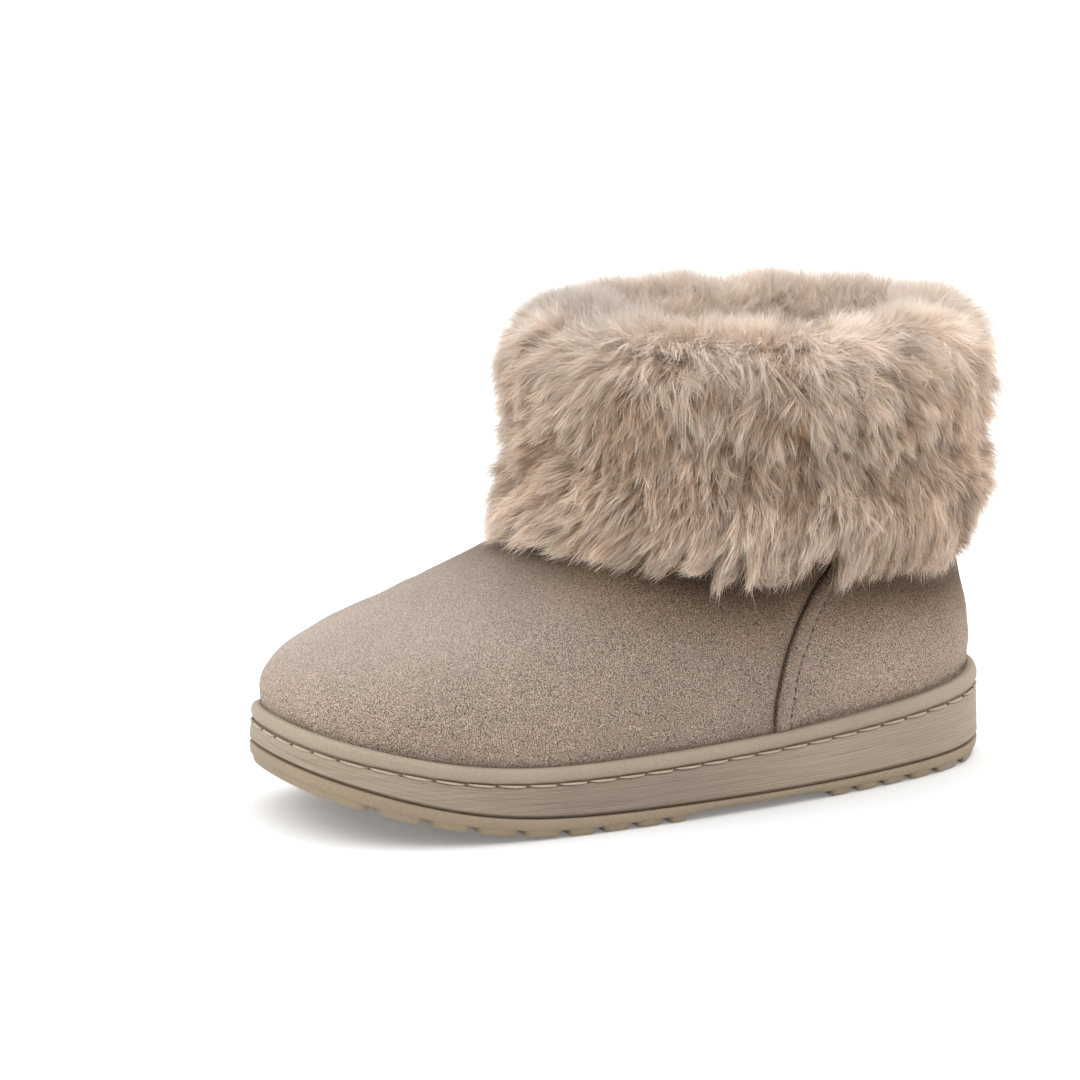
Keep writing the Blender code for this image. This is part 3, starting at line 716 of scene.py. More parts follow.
def lug(outline):
    """One lug: points, and polygons as rings of quads closed by a fan of triangles at its foot."""
    shape = rounded_outline(outline, 0.55)
    count, rows = len(shape), len(LUG_SECTION)
    centre = shape.mean(axis=0)
    reach = np.abs(shape - centre).max(axis=0)
    rings = []
    for inset, level in LUG_SECTION:
        ring = centre + (shape - centre) * (1 - inset / reach)
        rings.append(np.column_stack([ring, floor_rise(ring[:, 0]) + LUG_DEPTH + level]))
    tip = [[*centre, floor_rise(centre[0]) + LUG_DEPTH + LUG_SECTION[-1][1]]]
    quads = grid_quads(rows, count)[..., [0, 3, 2, 1]].reshape(-1, 4)
    k, last = np.arange(count), (rows - 1) * count
    fan = np.column_stack([np.full(count, rows * count), last + (k + 1) % count, last + k])
    return np.concatenate([*rings, tip]), quads, fan


def make_outsole():
    """The tread: a slab with a finely grained side, its base, and lugs that have eased corners and feet."""
    rubber = rubber_material("tread_rubber", TREAD, 0.5, 0.00022, 0.25)
    grid = sole_grid(tread_rows())[::-1]
    keep(grid_object("tread_slab", grid, rubber), "tread_rubber", "outsole")
    base = across_ring(grid[0], np.linspace(0, 1, 7))
    base[..., 2] = underside(base[..., 0])
    keep(grid_object("tread_base", base, rubber, wrap=False, flip=True), "tread_rubber")
    points, polygons, sizes, offset = [], [], [], 0
    for outline in lug_outlines():
        spots, quads, fan = lug(outline)
        points.append(spots)
        polygons += [quads.ravel() + offset, fan.ravel() + offset]
        sizes += [4] * len(quads) + [3] * len(fan)
        offset += len(spots)
    lugs = mesh_object("tread_lugs", world(np.concatenate(points)), np.concatenate(polygons), sizes, rubber)
    keep(lugs, "tread_rubber")


# ------------------------------------------------------------------ upper
STRIP_COLUMNS = np.array([  # distances behind the lapped edge
    -1.6, -0.9, -0.45, -0.2, -0.08, 0.0, 0.1, 0.3, 0.7, 1.2, 1.7, 2.1, 2.5, 2.8, 3.1, 3.5, 3.9, 4.3, 4.7, 5.1, 5.4, 5.7,
    6.0, 6.5, 7.2, 8.2,
])
SEAM_LIFT = (
    # distance behind the lapped edge, height of the surface there
    (-1.6, 0.0),
    (-0.45, -0.10),
    (-0.12, -0.28),
    (0.0, 0.50),
    (0.3, 0.88),
    (1.2, 1.15),
    (2.1, 1.15),
    (2.9, 0.98),
    (3.6, 0.62),
    (4.1, 0.28),
    (4.5, 0.30),
    (5.0, 0.36),
    (6.0, 0.18),
    (7.0, 0.04),
    (8.2, 0.0),
)
TROUGHS = (
    # soft folds: along, height, half length and half width of the trough, tilt in degrees, depth
    (104.0, 50.0, 17.0, 4.5, 24.0, 0.55),
    (90.0, 42.0, 15.0, 4.0, 40.0, 0.35),
    (79.0, 34.0, 5.0, 14.0, -8.0, 0.40),
    (50.0, 46.0, 14.0, 4.0, -12.0, 0.40),
    (30.0, 40.0, 12.0, 4.0, 14.0, 0.30),
    (120.0, 40.0, 14.0, 6.0, 30.0, 0.25),
    (148.0, 30.0, 12.0, 5.0, 8.0, 0.22),
)
STITCHES_BEHIND = 4.25  # from the lapped edge
FRINGE = 5.6  # how far the fur hangs below the line of its plain solid
UPPER_ROWS, BEHIND_COLUMNS, BEFORE_COLUMNS = 92, 32, 64
SUEDE_PAINTED_LIGHT = ((8, 1.15), (40, 1.15), (62, 0.92), (120, 0.92), (160, 1.04))  # along, painted light and shade
FUR_SHADOW, FUR_SHADOW_REACH, FUR_SHADOW_END = 0.74, 8.5, (117, 139)
UNEVEN = smooth_noise(21, 34.0)
UNEVEN_FINE = smooth_noise(22, 9.0)
FUZZ, FUZZ_HALF_WIDTH = 16000, 0.05


def seam_distance(along, height):
    """How far a point is behind the lapped edge of the side seam."""
    return (seam_along(height) - along) / np.sqrt(1 + seam_slope(height) ** 2)


def upper_columns(v):
    """Ring angles of one half row from heel to toe, with columns that follow the seam."""
    front, _, back = section_at(v)[:3]
    guess = SEAM_FOOT
    for _ in range(4):
        angle = math.acos(1 - 2 * (guess - back) / (front - back))
        height = upper_point(np.array([angle]), np.array([v]))[0, 2]
        guess = float(seam_along(height))
    stretch = math.sqrt(1 + float(seam_slope(height)) ** 2)
    strip = np.arccos(1 - 2 * (guess - STRIP_COLUMNS[::-1] * stretch - back) / (front - back))
    behind = np.linspace(0, strip[0], BEHIND_COLUMNS, endpoint=False)
    before = np.linspace(strip[-1], math.pi, BEFORE_COLUMNS + 1)[1:]
    return np.concatenate([behind, strip, before])


def upper_relief(points):
    """How far the suede stands out from the plain section: seam, folds and soft unevenness."""
    along, across, height = np.moveaxis(points, -1, 0)
    relief = column_at(SEAM_LIFT, seam_distance(along, height), left=0.0, right=0.0)
    for centre, level, half_length, half_width, tilt, depth in TROUGHS:
        angle = math.radians(tilt)
        run = (along - centre) * math.cos(angle) + (height - level) * math.sin(angle)
        off = -(along - centre) * math.sin(angle) + (height - level) * math.cos(angle)
        shape = np.exp(-((run / half_length) ** 2) - (off / half_width) ** 2)
        ridge = np.exp(-((run / half_length) ** 2) - ((off - 1.9 * half_width) / half_width) ** 2)
        relief = relief - depth * (shape - 0.5 * ridge) * np.where(across > 0, 1.0, 0.8)
    return relief + 0.28 * UNEVEN(points) + 0.10 * UNEVEN_FINE(points)


def suede_shades(points, outward, above_welt, patch):
    """Suede colours: painted shade at the welt, in the seam's gutter and in the fur's shadow, and painted light."""
    along, height = points[:, 0], points[:, 2]
    # painted shade where the suede meets the welt, over the suede's own uneven tone
    shade = 0.90 + 0.10 * np.clip(above_welt / 4.0, 0, 1) + 0.03 * patch(points)
    # painted shadow of the fur below its fringe, and painted light and shade by place along the boot
    below_fur = np.maximum(column_at(HEM_LINE, along) - FRINGE - height, 0)
    under = np.exp(-((below_fur / FUR_SHADOW_REACH) ** 1.3)) * eased(np.interp(along, FUR_SHADOW_END, [1, 0]))
    shade = shade * (1 - FUR_SHADOW * under) * column_at(SUEDE_PAINTED_LIGHT, along)
    behind = seam_distance(along, height)
    # painted shadow in the seam's gutter before the lapped edge, darker along the stitch line, a painted highlight on
    # the roll
    gutter = 0.62 * bell(behind, -0.12, 0.22) + 0.22 * bell(behind, -0.45, 0.8)
    shade = shade * (1 - gutter) * (1 - 0.16 * bell(behind, 4.2, 0.35)) * (1 + 0.14 * bell(behind, 2.0, 1.3))
    # painted sheen: lighter and cooler where the suede faces up; the painted shade is warmer under the fur and in the
    # gutter
    facing_up = np.clip(outward[:, 2:3], 0, 1)
    warm = 1 + (facing_up - 0.35) * np.array([0.04, 0.10, 0.17]) - under[:, None] * np.array([0.0, 0.18, 0.38])
    warm = warm * (1 - gutter[:, None] * np.array([0.0, 0.10, 0.22]))
    return np.clip(shade, 0, 1.3)[:, None] * warm


def make_upper():
    """The suede skin; returns its grid of points."""
    rows, shades = [], []
    patch = smooth_noise(31, 26.0)
    for v in np.linspace(0.0, 1.0, UPPER_ROWS) ** 1.15:
        half = upper_columns(v)
        theta = np.concatenate([half, TAU - half[-2:0:-1]])
        level = np.full(len(theta), v)
        points = upper_point(theta, level)
        outward = upper_outward(theta, level)
        above_welt = points[:, 2] - sole_lines(points[:, 0])[2]
        relief = upper_relief(points) * np.clip((above_welt + 1.0) / 1.4, 0, 1)
        relief = relief + 0.35 * np.clip(1 - above_welt / 4.0, 0, 1) ** 2
        rows.append(points + outward * relief[:, None])
        shades.append(suede_shades(points, outward, above_welt, patch))
    grid = np.array(rows)
    upper = grid_object("suede_upper", grid, suede_material(), colours=np.array(shades), flip=True)
    keep(upper, "suede", "upper")
    return grid


def tree_of(spots):
    tree = KDTree(len(spots))
    for k, spot in enumerate(spots):
        tree.insert(spot, k)
    tree.balance()
    return tree


class UpperFinder:
    """Finds points of the finished upper by along and height on the outer (+1) or inner (-1) side."""

    def __init__(self, grid):
        self.sides = {}
        for side in (1, -1):
            spots = grid.reshape(-1, 3)
            spots = spots[(spots[:, 1] * side > 12) & (spots[:, 0] > 30) & (spots[:, 0] < 90)]
            flat = np.column_stack([spots[:, 0], spots[:, 2], np.zeros(len(spots))])
            self.sides[side] = tree_of(flat), spots

    def __call__(self, along, height, side, out):
        tree, spots = self.sides[side]
        found = tree.find_n((along, height, 0.0), 5)
        weights = np.array([1 / (distance + 0.02) ** 2 for _, _, distance in found])
        across = np.average(spots[[index for _, index, _ in found], 1], weights=weights)
        return np.array([along, across + side * out, height])


def make_seam_stitches(find):
    """The short dark stitches sunk along the back of each side seam's roll, uneven as in soft nap."""
    chance = np.random.default_rng(12)
    tubes, shades = [], []
    for side in (1, -1):
        for height in np.arange(18.5, 60.0, 1.9):
            middle = height + 0.3 * chance.uniform(-1, 1)
            reach = chance.uniform(0.35, 0.65)
            slant = chance.uniform(0.0, 0.5)
            sunk = chance.uniform(-0.16, 0.04)
            path = []
            for step in (-1.0, -0.5, 0.0, 0.5, 1.0):
                level = middle + step * reach
                back = STITCHES_BEHIND - slant * step * 0.5
                along = float(seam_along(level)) - back * math.sqrt(1 + float(seam_slope(level)) ** 2)
                path.append(find(along, level, side, sunk - 0.15 * step**2))
            tubes.append(tube(path, 0.30 * np.array([0.3, 0.85, 1.0, 0.85, 0.3]), 6))
            shades.append(np.array(SUEDE) * np.array([1.0, 0.92, 0.84]) * chance.uniform(0.18, 0.36))
    made = Nodes("seam_thread", 0.85)
    colour = made.painted()
    twist = made.noise(made.coordinates(), 3000.0, 2.0)
    thread = made.finish(colour, Normal=made.bump(twist, 0.00008, 0.5))
    keep(join_tubes("seam_stitches", tubes, thread, shades), "suede")


def make_fuzz(grid):
    """Fine short nap that stands out of the suede along the welt and over the seam's roll."""
    chance = np.random.default_rng(17)
    points = grid[:-1].reshape(-1, 3)
    across = (np.roll(grid, -1, axis=1) - grid)[:-1].reshape(-1, 3)
    up = (grid[1:] - grid[:-1]).reshape(-1, 3)
    outward = np.cross(up, across)
    area = np.linalg.norm(outward, axis=1)
    outward /= area[:, None] + 1e-9
    above = points[:, 2] - sole_lines(points[:, 0])[2]
    behind = seam_distance(points[:, 0], points[:, 2])
    weight = area * (1.6 * bell(above, 0.1, 0.7) + 0.7 * bell(behind, 2.0, 1.6) * (above > 0))
    weight[(above < -0.2) | (points[:, 2] > 62)] = 0
    edges = np.cumsum(weight) / weight.sum()
    cell = np.searchsorted(edges, chance.random(FUZZ))
    root = points[cell] + across[cell] * chance.random((FUZZ, 1)) + up[cell] * chance.random((FUZZ, 1))
    lean = outward[cell] * 0.7 + 0.6 * chance.normal(size=(FUZZ, 3)) + np.array([0.0, 0.0, -0.25])
    lean = unit(lean)
    tip = root + lean * chance.uniform(0.35, 0.75, (FUZZ, 1))
    side = FUZZ_HALF_WIDTH * unit(np.cross(lean, outward[cell] + 0.5 * chance.normal(size=(FUZZ, 3))), 1e-9)
    root = root - outward[cell] * 0.08
    corners = np.stack([root - side, root + side, tip], axis=1)
    tone = np.array(SUEDE) * np.array([1.0, 0.97, 0.93]) * chance.uniform(0.6, 1.25, (FUZZ, 1))
    colours = np.repeat(tone, 3, axis=0)
    made = Nodes("nap_fuzz", 0.9)
    material, points = made.finish(made.painted()), world(corners.reshape(-1, 3))
    fuzz = mesh_object("nap_fuzz", points, np.arange(3 * FUZZ), np.full(FUZZ, 3), material, colours=colours)
    keep(fuzz, "suede")


# ------------------------------------------------------------------ fur
CUFF_TABLE = np.array(CUFF_RINGS)
CUFF_STEPS = np.hypot(*np.diff(CUFF_TABLE[:, 0:2], axis=0).T)
CUFF_KNOTS = np.concatenate([[0.0], np.cumsum(CUFF_STEPS)]) / CUFF_STEPS.sum()
CREST, WAIST = CUFF_KNOTS[CREST_RING], CUFF_KNOTS[WAIST_RING]
PLACES = np.linspace(-0.25, 1.2, 291)
PLACE_STEP = PLACES[1] - PLACES[0]
ANGLES = np.linspace(0, TAU, 361)[:-1]


def cuff_surface(theta, place):
    """Points (along, across, height) of the fur's plain surface at places from 0, inside, to 1, the fringe."""
    front, front_z, back, back_z, width = smooth_through(CUFF_KNOTS, CUFF_TABLE, place).T
    share = (1 - np.cos(theta)) / 2
    along = back + (front - back) * share
    height = back_z + (front_z - back_z) * share
    follow = np.clip((place - WAIST) / (1 - WAIST), 0, 1)
    level = HEM_LINE[0][1] + (HEM_LINE[-1][1] - HEM_LINE[0][1]) * share
    height = height + follow * (column_at(HEM_LINE, along) - level)
    return np.stack([along, width * np.sin(theta), height], axis=-1)


def cuff_tables():
    """The cuff's surface, its outward directions and its scales, in tables by place and angle."""
    place, theta = np.meshgrid(PLACES, ANGLES, indexing="ij")
    spot = cuff_surface(theta.ravel(), place.ravel()).reshape(*place.shape, 3)
    down = np.gradient(spot, PLACES, axis=0)
    around = (np.roll(spot, -1, axis=1) - np.roll(spot, 1, axis=1)) / (2 * TAU / len(ANGLES))
    scale = np.stack([np.linalg.norm(down, axis=-1), np.linalg.norm(around, axis=-1)], axis=-1)
    return np.concatenate([spot, unit(np.cross(around, down)), scale], axis=-1)


CUFF = cuff_tables()


def on_cuff(theta, place):
    """Rows read from the cuff's tables at any angles and places: point, outward direction, mm per place and angle."""
    row = np.clip((place - PLACES[0]) / PLACE_STEP, 0, len(PLACES) - 1.001)
    column = np.mod(theta, TAU) / TAU * len(ANGLES)
    r0, c0 = np.floor(row).astype(int), np.floor(column).astype(int) % len(ANGLES)
    fr, fc = (row - r0)[..., None], (column - np.floor(column))[..., None]
    c1 = (c0 + 1) % len(ANGLES)
    top = CUFF[r0, c0] * (1 - fc) + CUFF[r0, c1] * fc
    return top * (1 - fr) + (CUFF[r0 + 1, c0] * (1 - fc) + CUFF[r0 + 1, c1] * fc) * fr


COMB = (
    # ring angle in degrees, lean of the upper fur and of the lower fur from straight down towards the toe
    (0.0, 0.0, -5.0),
    (30.0, -12.0, -4.0),
    (60.0, -16.0, 1.0),
    (80.0, -20.0, 5.0),
    (100.0, -30.0, 10.0),
    (118.0, -26.0, 12.0),
    (134.0, 6.0, 20.0),
    (150.0, 32.0, 27.0),
    (172.0, 38.0, 30.0),
    (196.0, 20.0, 18.0),
    (220.0, -6.0, -6.0),
    (250.0, -20.0, -14.0),
    (290.0, 10.0, 6.0),
    (325.0, -12.0, -12.0),
    (360.0, 0.0, -5.0),
)
FUR_SEED = 40
LOCKS, TUFTS = 900, 13000
SEGMENTS = 3
FUR_PIECES = (
    # hairs, segments, share of the tuft's length, clumping, stray, half width at the root, where its colours start
    (26500, 3, 1.00, 1.00, 0.8, 0.066, 0.00),
    (60000, 2, 0.95, 1.00, 0.9, 0.062, 0.05),
    (60000, 2, 0.85, 0.95, 1.0, 0.062, 0.10),
    (164000, 1, 0.66, 0.85, 1.2, 0.068, 0.22),
    (164000, 1, 0.56, 0.70, 1.4, 0.064, 0.28),
)
FUR_ROOT_DEPTH = 4.6
BACKING_DEPTH = 3.6
FUR_LENGTH = 14.0
HEM_TIPS = (
    # ring angle in degrees, place where the fringe's tips end
    (0.0, 1.04), (29.0, 1.03), (59.0, 1.04), (83.5, 1.052), (86.8, 1.015), (90.0, 1.055), (119.0, 1.06),
    (150.0, 1.085), (180.0, 1.11), (195.0, 1.12), (210.0, 1.115), (240.0, 1.085), (300.0, 1.06), (360.0, 1.04),
)
FUR_ROOT = np.array([0.41, 0.23, 0.125])
FUR_MIDDLE = np.array([0.585, 0.416, 0.296])
FUR_TIP = np.array([0.84, 0.725, 0.61])
FUR_WARM = np.array([0.76, 0.53, 0.355])
FUR_PALE = np.array([0.825, 0.78, 0.73])
# brightness is painted light and shade: lighter inside the rim, darker below the crest
FUR_BY_PLACE = (
    # place, brightness, paleness, fullness in mm, clumping, hairs to an area, uprightness, length, tangle
    (-0.20, 1.30, 0.70, -0.5, 0.50, 0.60, 0.30, 0.8, 1.0),
    (0.10, 1.22, 1.00, 0.3, 0.35, 0.90, 0.50, 0.8, 1.5),
    (0.22, 1.06, 1.00, 1.3, 0.34, 1.30, 0.75, 0.9, 2.0),
    (0.30, 0.99, 1.00, 1.9, 0.34, 1.40, 0.85, 1.0, 2.5),
    (0.42, 1.00, 1.00, 2.1, 0.32, 1.55, 0.82, 1.1, 2.8),
    (0.49, 1.00, 0.85, 1.7, 0.40, 1.60, 0.66, 1.1, 2.8),
    (0.54, 0.95, 0.45, 1.0, 0.52, 1.35, 0.50, 1.1, 2.2),
    (0.60, 0.85, 0.08, 0.2, 0.75, 1.05, 0.32, 1.05, 1.5),
    (0.67, 0.81, 0.00, -0.5, 0.88, 0.90, 0.26, 0.9, 1.0),
    (0.74, 0.82, 0.00, -0.4, 0.88, 0.95, 0.34, 0.72, 1.2),
    (0.82, 0.88, 0.00, 0.0, 0.86, 1.00, 0.34, 0.66, 1.3),
    (0.92, 0.94, 0.10, 0.0, 0.66, 1.10, 0.22, 0.75, 1.2),
    (1.05, 0.98, 0.20, -0.3, 0.55, 1.10, 0.10, 0.90, 1.0),
)
# patches of painted light and shade on the fur
FUR_PAINTED_LIGHT_PATCHES = (
    # ring angle in degrees and its reach, place and its reach, how much lighter the fur is there
    (176.0, 34.0, 0.36, 0.15, -0.24),
    (172.0, 34.0, 0.72, 0.20, 0.16),
    (96.0, 48.0, 0.43, 0.09, 0.16),
    (300.0, 38.0, 0.24, 0.15, 0.10),
    (40.0, 30.0, 0.70, 0.17, 0.36),
)
FULLER = (
    # ring angle in degrees and its reach, place and its reach, how much prouder the pile stands there in mm
    (172.0, 42.0, 1.02, 0.18, 4.5),
    (170.0, 45.0, 0.36, 0.12, 2.6),
    (165.0, 40.0, 0.66, 0.12, 1.5),
    (15.0, 45.0, 0.42, 0.14, 1.2),
    (20.0, 40.0, 0.55, 0.09, 2.0),
    (20.0, 40.0, 0.86, 0.12, 1.6),
)
PAINTED_BRIGHTNESS, PALENESS, FULLNESS, CLUMPING, DENSITY, UPRIGHTNESS, LENGTH, TANGLE = range(1, 9)
FUR_TINT_AND_SHADE_HUE = np.array([0.68, 1.0, 1.32])
TUFT_SPAN, HAIR_SPAN = (-0.1, 0.92), (-0.12, 0.97)
SWIRL, SWIRL_FINE, SWIRL_CURL = smooth_noise(51, 24.0), smooth_noise(52, 7.0), smooth_noise(55, 11.0)
FLUFF, TINT = smooth_noise(53, 12.0), smooth_noise(54, 11.0)
BANGS = 0.40  # share of the locks just below the crest that hang long


def hem_tips(theta):
    return column_at(HEM_TIPS, np.degrees(np.mod(theta, TAU)))


def patches(theta, place, table):
    """Soft round patches on the cuff, each of its own height, added up."""
    total = np.zeros(np.shape(theta))
    for angle, reach, level, depth, more in table:
        away = np.mod(np.degrees(theta) - angle + 180.0, 360.0) - 180.0
        total = total + more * np.exp(-((away / reach) ** 2) - ((place - level) / depth) ** 2)
    return total


def by_place(place, column):
    return column_at(FUR_BY_PLACE, place, column)


def comb(theta, place):
    degrees = np.degrees(np.mod(theta, TAU))
    upper, lower = column_at(COMB, degrees, 1), column_at(COMB, degrees, 2)
    share = np.clip((place - 0.52) / 0.25, 0, 1)
    return np.radians(upper * (1 - share) + lower * share)


def flow(theta, place, lean, curl, length, steps):
    """Paths (step, strand) of angle and place for hairs that lie along the cuff, leaning and curling."""
    thetas, places = [theta], [place]
    for _ in range(steps):
        scale = on_cuff(theta, place)[..., 6:8]
        step = length / steps
        lean = lean + curl / steps
        theta = theta + np.sin(lean) * step / scale[..., 1]
        place = place + np.cos(lean) * step / scale[..., 0]
        thetas.append(theta)
        places.append(place)
    return np.array(thetas), np.array(places)


def upright(place, noise):
    """How far the hairs stand up: nearly 1 on the crest, where the fold opens the pile."""
    return np.clip(by_place(place, UPRIGHTNESS) + 0.10 * noise, 0.0, 0.97)


def scatter(chance, count, low, high):
    """Ring angles and places spread evenly over the cuff, thicker where the table says so."""
    rows = np.flatnonzero((PLACES >= low) & (PLACES <= high))
    weight = CUFF[rows, :, 6] * CUFF[rows, :, 7] * by_place(PLACES[rows], DENSITY)[:, None]
    edges = np.cumsum(weight.ravel()) / weight.sum()
    cell = np.minimum(np.searchsorted(edges, chance.random(count)), weight.size - 1)
    theta = (cell % len(ANGLES) + chance.random(count)) / len(ANGLES) * TAU
    place = PLACES[rows[cell // len(ANGLES)]] + chance.random(count) * PLACE_STEP
    return theta, place + (hem_tips(theta) - 1.02) * np.clip((place - 0.65) / 0.32, 0, 1) ** 1.5


def nearest(spots, wanted):
    tree = tree_of(spots)
    return np.array([tree.find(spot)[1] for spot in wanted])


def grow_locks(chance):
    """Locks set the way their tufts lie."""
    theta, place = scatter(chance, LOCKS, *TUFT_SPAN)
    turn = 0.20 * chance.normal(size=LOCKS)
    length = chance.uniform(0.85, 1.15, LOCKS)
    bangs = (np.abs(place - CREST - 0.07) < 0.07) & (chance.random(LOCKS) < BANGS)
    length[bangs] *= 1.35
    rise = np.interp(place, [0.68, 0.88], [1.0, 0.45]) * chance.normal(size=LOCKS) + 0.8 * bangs
    # sunk: how far a lock sinks below its neighbours, which darkens its hairs as painted shade
    sunk = np.clip(0.5 - rise, 0, 1.3) * np.interp(place, [0.46, 0.56, 0.70, 0.95], [0.0, 1.0, 0.8, 0.5])
    return SimpleNamespace(spot=on_cuff(theta, place)[:, :3], turn=turn, length=length, rise=rise, sunk=sunk)


def grow_tufts(chance, locks):
    """Tufts are what the hairs gather to: where each starts and lies, how it rises and how it is coloured."""
    theta, place = scatter(chance, TUFTS, *TUFT_SPAN)
    spot = on_cuff(theta, place)[:, :3]
    lock = nearest(locks.spot, spot)
    stand = upright(place, FLUFF(spot))
    loose = np.interp(place, [0.3, 0.55, 0.72, 0.9], [0.8, 1.0, 0.55, 0.22])
    lean = comb(theta, place) + loose * (0.36 * SWIRL(spot) + 0.26 * SWIRL_FINE(spot))
    lean = lean + loose * locks.turn[lock] + (0.14 + 0.55 * stand) * chance.normal(size=TUFTS)
    curl = loose * 0.8 * SWIRL_CURL(spot) + 0.22 * chance.normal(size=TUFTS)
    lie = FUR_LENGTH * by_place(place, LENGTH) * locks.length[lock] * chance.uniform(0.75, 1.25, TUFTS)
    thetas, places = flow(theta, place, lean - curl / 2, curl, lie * (1 - 0.72 * stand), SEGMENTS)
    rise = by_place(place, FULLNESS) + patches(theta, place, FULLER) + locks.rise[lock]
    rise = rise + 1.0 * chance.normal(size=TUFTS) + 1.3 * FLUFF(spot)
    tone = 0.10 * chance.normal(size=TUFTS) * (1 - 0.7 * stand) + 0.06 * TINT(spot)
    # painted shade of sunk locks, plus a little random tint by tuft
    brown = 0.52 * locks.sunk[lock] + 0.06 * chance.normal(size=TUFTS) * (1 - stand)
    limit = hem_tips(theta) + 0.022 * chance.normal(size=TUFTS)
    tufts = SimpleNamespace(theta=theta, place=place, spot=spot, stand=stand, thetas=thetas, places=places)
    tufts.rise, tufts.tone, tufts.brown, tufts.limit = rise, tone, brown, limit
    return tufts


def grow_hairs(chance, tufts, count, segments, length, clump, stray):
    """Hairs from roots all over the cuff that gather to their tufts, as paths (step, hair) on it."""
    share = np.linspace(0, 1, segments + 1)[:, None]
    theta, place = scatter(chance, count, *HAIR_SPAN)
    root = on_cuff(theta, place)
    tuft = nearest(tufts.spot, root[:, :3])
    clumping = by_place(place, CLUMPING) ** (1.0 if segments == 1 else 0.5)
    gather = 1 - clump * clumping * chance.uniform(0.45, 1.1, count) * share**1.2
    away_theta = np.mod(theta - tufts.theta[tuft] + math.pi, TAU) - math.pi
    away_place = place - tufts.place[tuft]
    position = np.clip(share * length * chance.uniform(0.65, 1.0, count) * SEGMENTS, 0, SEGMENTS)
    low = np.clip(np.floor(position).astype(int), 0, SEGMENTS - 1)
    part = position - low
    thetas = tufts.thetas[low, tuft] * (1 - part) + tufts.thetas[low + 1, tuft] * part + away_theta * gather
    places = tufts.places[low, tuft] * (1 - part) + tufts.places[low + 1, tuft] * part + away_place * gather
    tangle = 1 + (by_place(place, TANGLE) - 1) * (1.0 if segments == 1 else 0.3)
    wild = stray * tangle * chance.normal(size=(2, count)) * np.where(chance.random(count) < 0.12, 2.0, 0.6)
    thetas = thetas + share**2 * wild[0] * 0.8 / root[:, 7]
    places = places + share**2 * wild[1] * 0.8 / root[:, 6]
    over = np.maximum(places[-1] - tufts.limit[tuft] - 0.008 * chance.normal(size=count), 0)
    places = places - over * share
    places = places + np.maximum(-0.2 - places[-1], 0) * share
    spot = on_cuff(thetas, places)
    near_hem = np.clip((place - 0.80) / 0.14, 0, 1)
    rise = tufts.rise[tuft] + 0.7 * chance.normal(size=count) - 1.2 * near_hem
    rise = np.clip(rise, -3.0, 4.5 + patches(theta, place, FULLER))
    stand = tufts.stand[tuft]
    lift = np.sin(np.minimum(share * (1.25 - 0.45 * stand), 1.0) * math.pi / 2)
    height = -FUR_ROOT_DEPTH + (FUR_ROOT_DEPTH + rise) * lift + 0.5 * chance.normal(size=count) * share**3
    path = spot[..., :3] + spot[..., 3:6] * height[..., None]
    path[..., 2] -= 0.8 * share**2 * (1 - stand)
    return SimpleNamespace(theta=theta, place=place, tuft=tuft, path=path, outward=spot[..., 3:6])


def hair_ribbons(chance, hairs, segments, breadth):
    """Points (hair, corner, 3) of flat tapered ribbons that face outwards, turned a little at random."""
    count = len(hairs.place)
    run = unit(np.gradient(hairs.path, axis=0))
    across = unit(np.cross(run, hairs.outward + 0.22 * chance.normal(size=(1, count, 3))), 1e-9)
    taper = breadth * np.interp(np.linspace(0, 1, segments + 1), [0, 0.4, 0.75, 1], [1.0, 1.0, 0.75, 0.0])[:, None]
    finer = np.interp(hairs.place, [0.25, 0.38, 0.54, 0.64], [0.8, 0.62, 0.62, 1.0]) ** (0.5 if segments == 1 else 1.0)
    width = across[:-1] * (taper * chance.uniform(0.7, 1.3, count) * finer)[:-1, :, None]
    sides = np.stack([hairs.path[:-1] - width, hairs.path[:-1] + width], axis=1).reshape(-1, count, 3)
    return np.concatenate([sides, hairs.path[-1:]]).transpose(1, 0, 2)


def hair_colours(chance, hairs, tufts, segments, begin):
    """Brown roots, beige middle, pale tips, varied by place, tuft and hair, with painted light and shade."""
    steps = np.linspace(0, 1, segments + 1)[:-1]
    t = begin + (1 - begin) * np.append(np.repeat(steps, 2), 1.0)[:, None]
    early, late = np.clip(t / 0.5, 0, 1), np.clip((t - 0.45) / 0.55, 0, 1)
    gradient = (FUR_ROOT * (1 - early) + FUR_MIDDLE * early) * (1 - late) + FUR_TIP * late
    pale = by_place(hairs.place, PALENESS)[:, None, None]
    colours = gradient * (1 - pale) + (FUR_WARM * (1 - t) + FUR_PALE * t) * pale
    # painted shade: sunk locks darker and more saturated, most towards the roots
    colours = colours * np.exp(-tufts.brown[hairs.tuft, None, None] * FUR_TINT_AND_SHADE_HUE * (1.6 - 1.25 * t))
    uneven = 0.17 * chance.normal(size=len(hairs.place)) * (1 - 0.6 * tufts.stand[hairs.tuft])
    # painted light and shade by place and in patches, over random tone by tuft and hair
    tone = by_place(hairs.place, PAINTED_BRIGHTNESS) * (1 + tufts.tone[hairs.tuft] + uneven)
    tone = tone * (1 + patches(hairs.theta, hairs.place, FUR_PAINTED_LIGHT_PATCHES))
    warm = 1 + 0.03 * chance.normal(size=(len(tone), 1, 1)) * np.array([0.4, 0.0, -1.0])
    colours = np.maximum(colours * tone[:, None, None] * warm, 0.01).reshape(-1, 3)
    return colours / np.maximum(colours.max(axis=1, keepdims=True) / 0.95, 1)  # the lightest keep their hue


